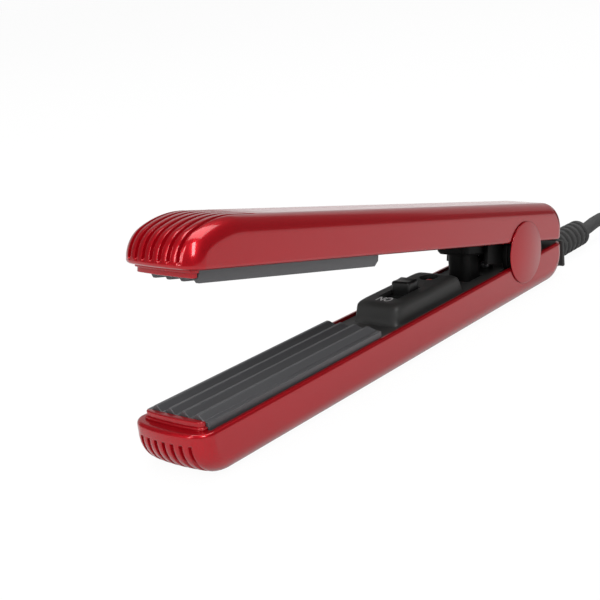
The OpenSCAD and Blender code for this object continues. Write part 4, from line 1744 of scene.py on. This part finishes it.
@dataclass
class SlideKnob:
    """Saddle-shaped knob of the slide switch on the flange that keeps it in."""

    middle: float = -55.95
    half_l: float = 2.95
    half_w: float = 3.45
    foot: float = -0.2
    top: float = 4.95
    dip: float = 0.15
    dip_from: float = 1.5
    dip_over: float = 2.5
    dip_ends: float = 0.3
    dip_cuts: int = 15
    corner: float = 0.9
    corner_steps: int = 6
    flange_l: float = 4.05
    flange_w: float = 5.2
    flange_z: tuple[float, float] = (-0.8, 0.35)
    flange_edge: float = 0.15

    def build(self) -> None:
        """Builds the knob and its flange."""
        bm = bmesh.new()
        mid = self.middle
        block(bm, (mid - self.half_l, -self.half_w, self.foot),
              (mid + self.half_l, self.half_w, self.top), self.corner,
              self.corner_steps)
        along = [e for e in bm.edges if abs(e.verts[0].co.x - e.verts[1].co.x) > 1]
        bmesh.ops.subdivide_edges(
            bm, edges=along, cuts=self.dip_cuts, use_grid_fill=True,
        )
        for v in bm.verts:
            u = abs(v.co.x - mid) / (self.half_l - self.dip_ends)
            height = smooth((v.co.z - self.dip_from) / (self.top - self.dip_over))
            v.co.z -= self.dip * (1 - smooth(u)) * height
        bmesh.ops.recalc_face_normals(bm, faces=bm.faces[:])
        low, high = self.flange_z
        block(bm, (mid - self.flange_l, -self.flange_w, low),
              (mid + self.flange_l, self.flange_w, high), self.flange_edge, 2)
        piece = finished("slide_knob", bm, Seat.LOWER, 45)
        dress(piece, KNOB, Body.SLIDER, "switch_slider")


@dataclass
class RearCap:
    """Black end piece behind the lower arm, on the tongue that holds it there."""

    tongue: tuple[Triple, Triple] = ((16, -9.7, -13), (30, 9.7, -4.0))
    end: tuple[Triple, Triple] = ((29.7, -10.9, -13.6), (31, 10.9, -3.7))
    edge: float = 0.45

    def build(self) -> None:
        """Builds the cap."""
        bm = bmesh.new()
        block(bm, *self.tongue)
        block(bm, *self.end, self.edge, 4)
        piece = finished("rear_end_piece", bm, Seat.LOWER, 35)
        dress(piece, BLACK, Body.LOWER, "rear_cap")


# The upper inner cover, the spring post and its collar get the near-black copy of the
# moulding as painted shade.
NODE_FINISHES = {
    "upper_inner_cover": SHADED_BLACK, "spring_post": SHADED_BLACK, "spring_collar": SHADED_BLACK,
    "lower_plate_carrier": TRAY, "upper_plate_carrier": TRAY,
    "lower_heater": WRAP, "upper_heater": WRAP, "thermal_fuse": STEEL,
    "switch_body": INNER, "circuit_board": BOARD, "indicator_lamp": LAMP,
    "hinge_pins": STEEL, "return_spring": STEEL, "lower_screws": STEEL,
    "upper_screws": STEEL, "cord_clamp": INNER, "mains_wires": JACKET,
}


def dress_solids(frame: dict) -> None:
    """Gives the solids that stay in view their finishes.

    Args:
        frame: the loaded frame.
    """
    for name, finish in NODE_FINISHES.items():
        solid = frame["nodes"][name]
        for slot in solid.material_slots:
            slot.material = finish.material()
        LOG.info("%s keeps its solid", name)


def main() -> None:
    """Builds the iron and its studio in order."""
    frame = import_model()
    studio = Studio()
    studio.camera()
    MainsCord().build()
    StrainRelief().build()
    lower = (Body.LOWER, Seat.LOWER_FLIPPED)
    upper = (Body.UPPER, Seat.UPPER)
    low_form = ArmForm(
        nose_r=9.4, nose_turn=75.0, nose_arc_z=7.0, groove_start=-4.5,
    )
    Shell("lower_red_shell", "lower_shell", *lower, low_form, 10.55, 11.95).build()
    Shell("upper_red_shell", "upper_shell", *upper, ArmForm(), 8.5, 10.25).build()
    HingeCap("near_cap", "hinge_cap_near", NEAR).build()
    HingeCap("far_cap", "hinge_cap_far", FAR).build()
    CrimpingPlate("lower_crimping_plate", "lower_plate", *lower, -7.5).build()
    CrimpingPlate("upper_crimping_plate", "upper_plate", *upper, -10.0).build()
    SwitchCover().build()
    SlideKnob().build()
    RearCap().build()
    dress_solids(frame)
    studio.build()
    bpy.context.view_layer.update()


if __name__ == "__main__":
    logging.basicConfig(level=logging.INFO, format="%(name)s: %(message)s")
    main()
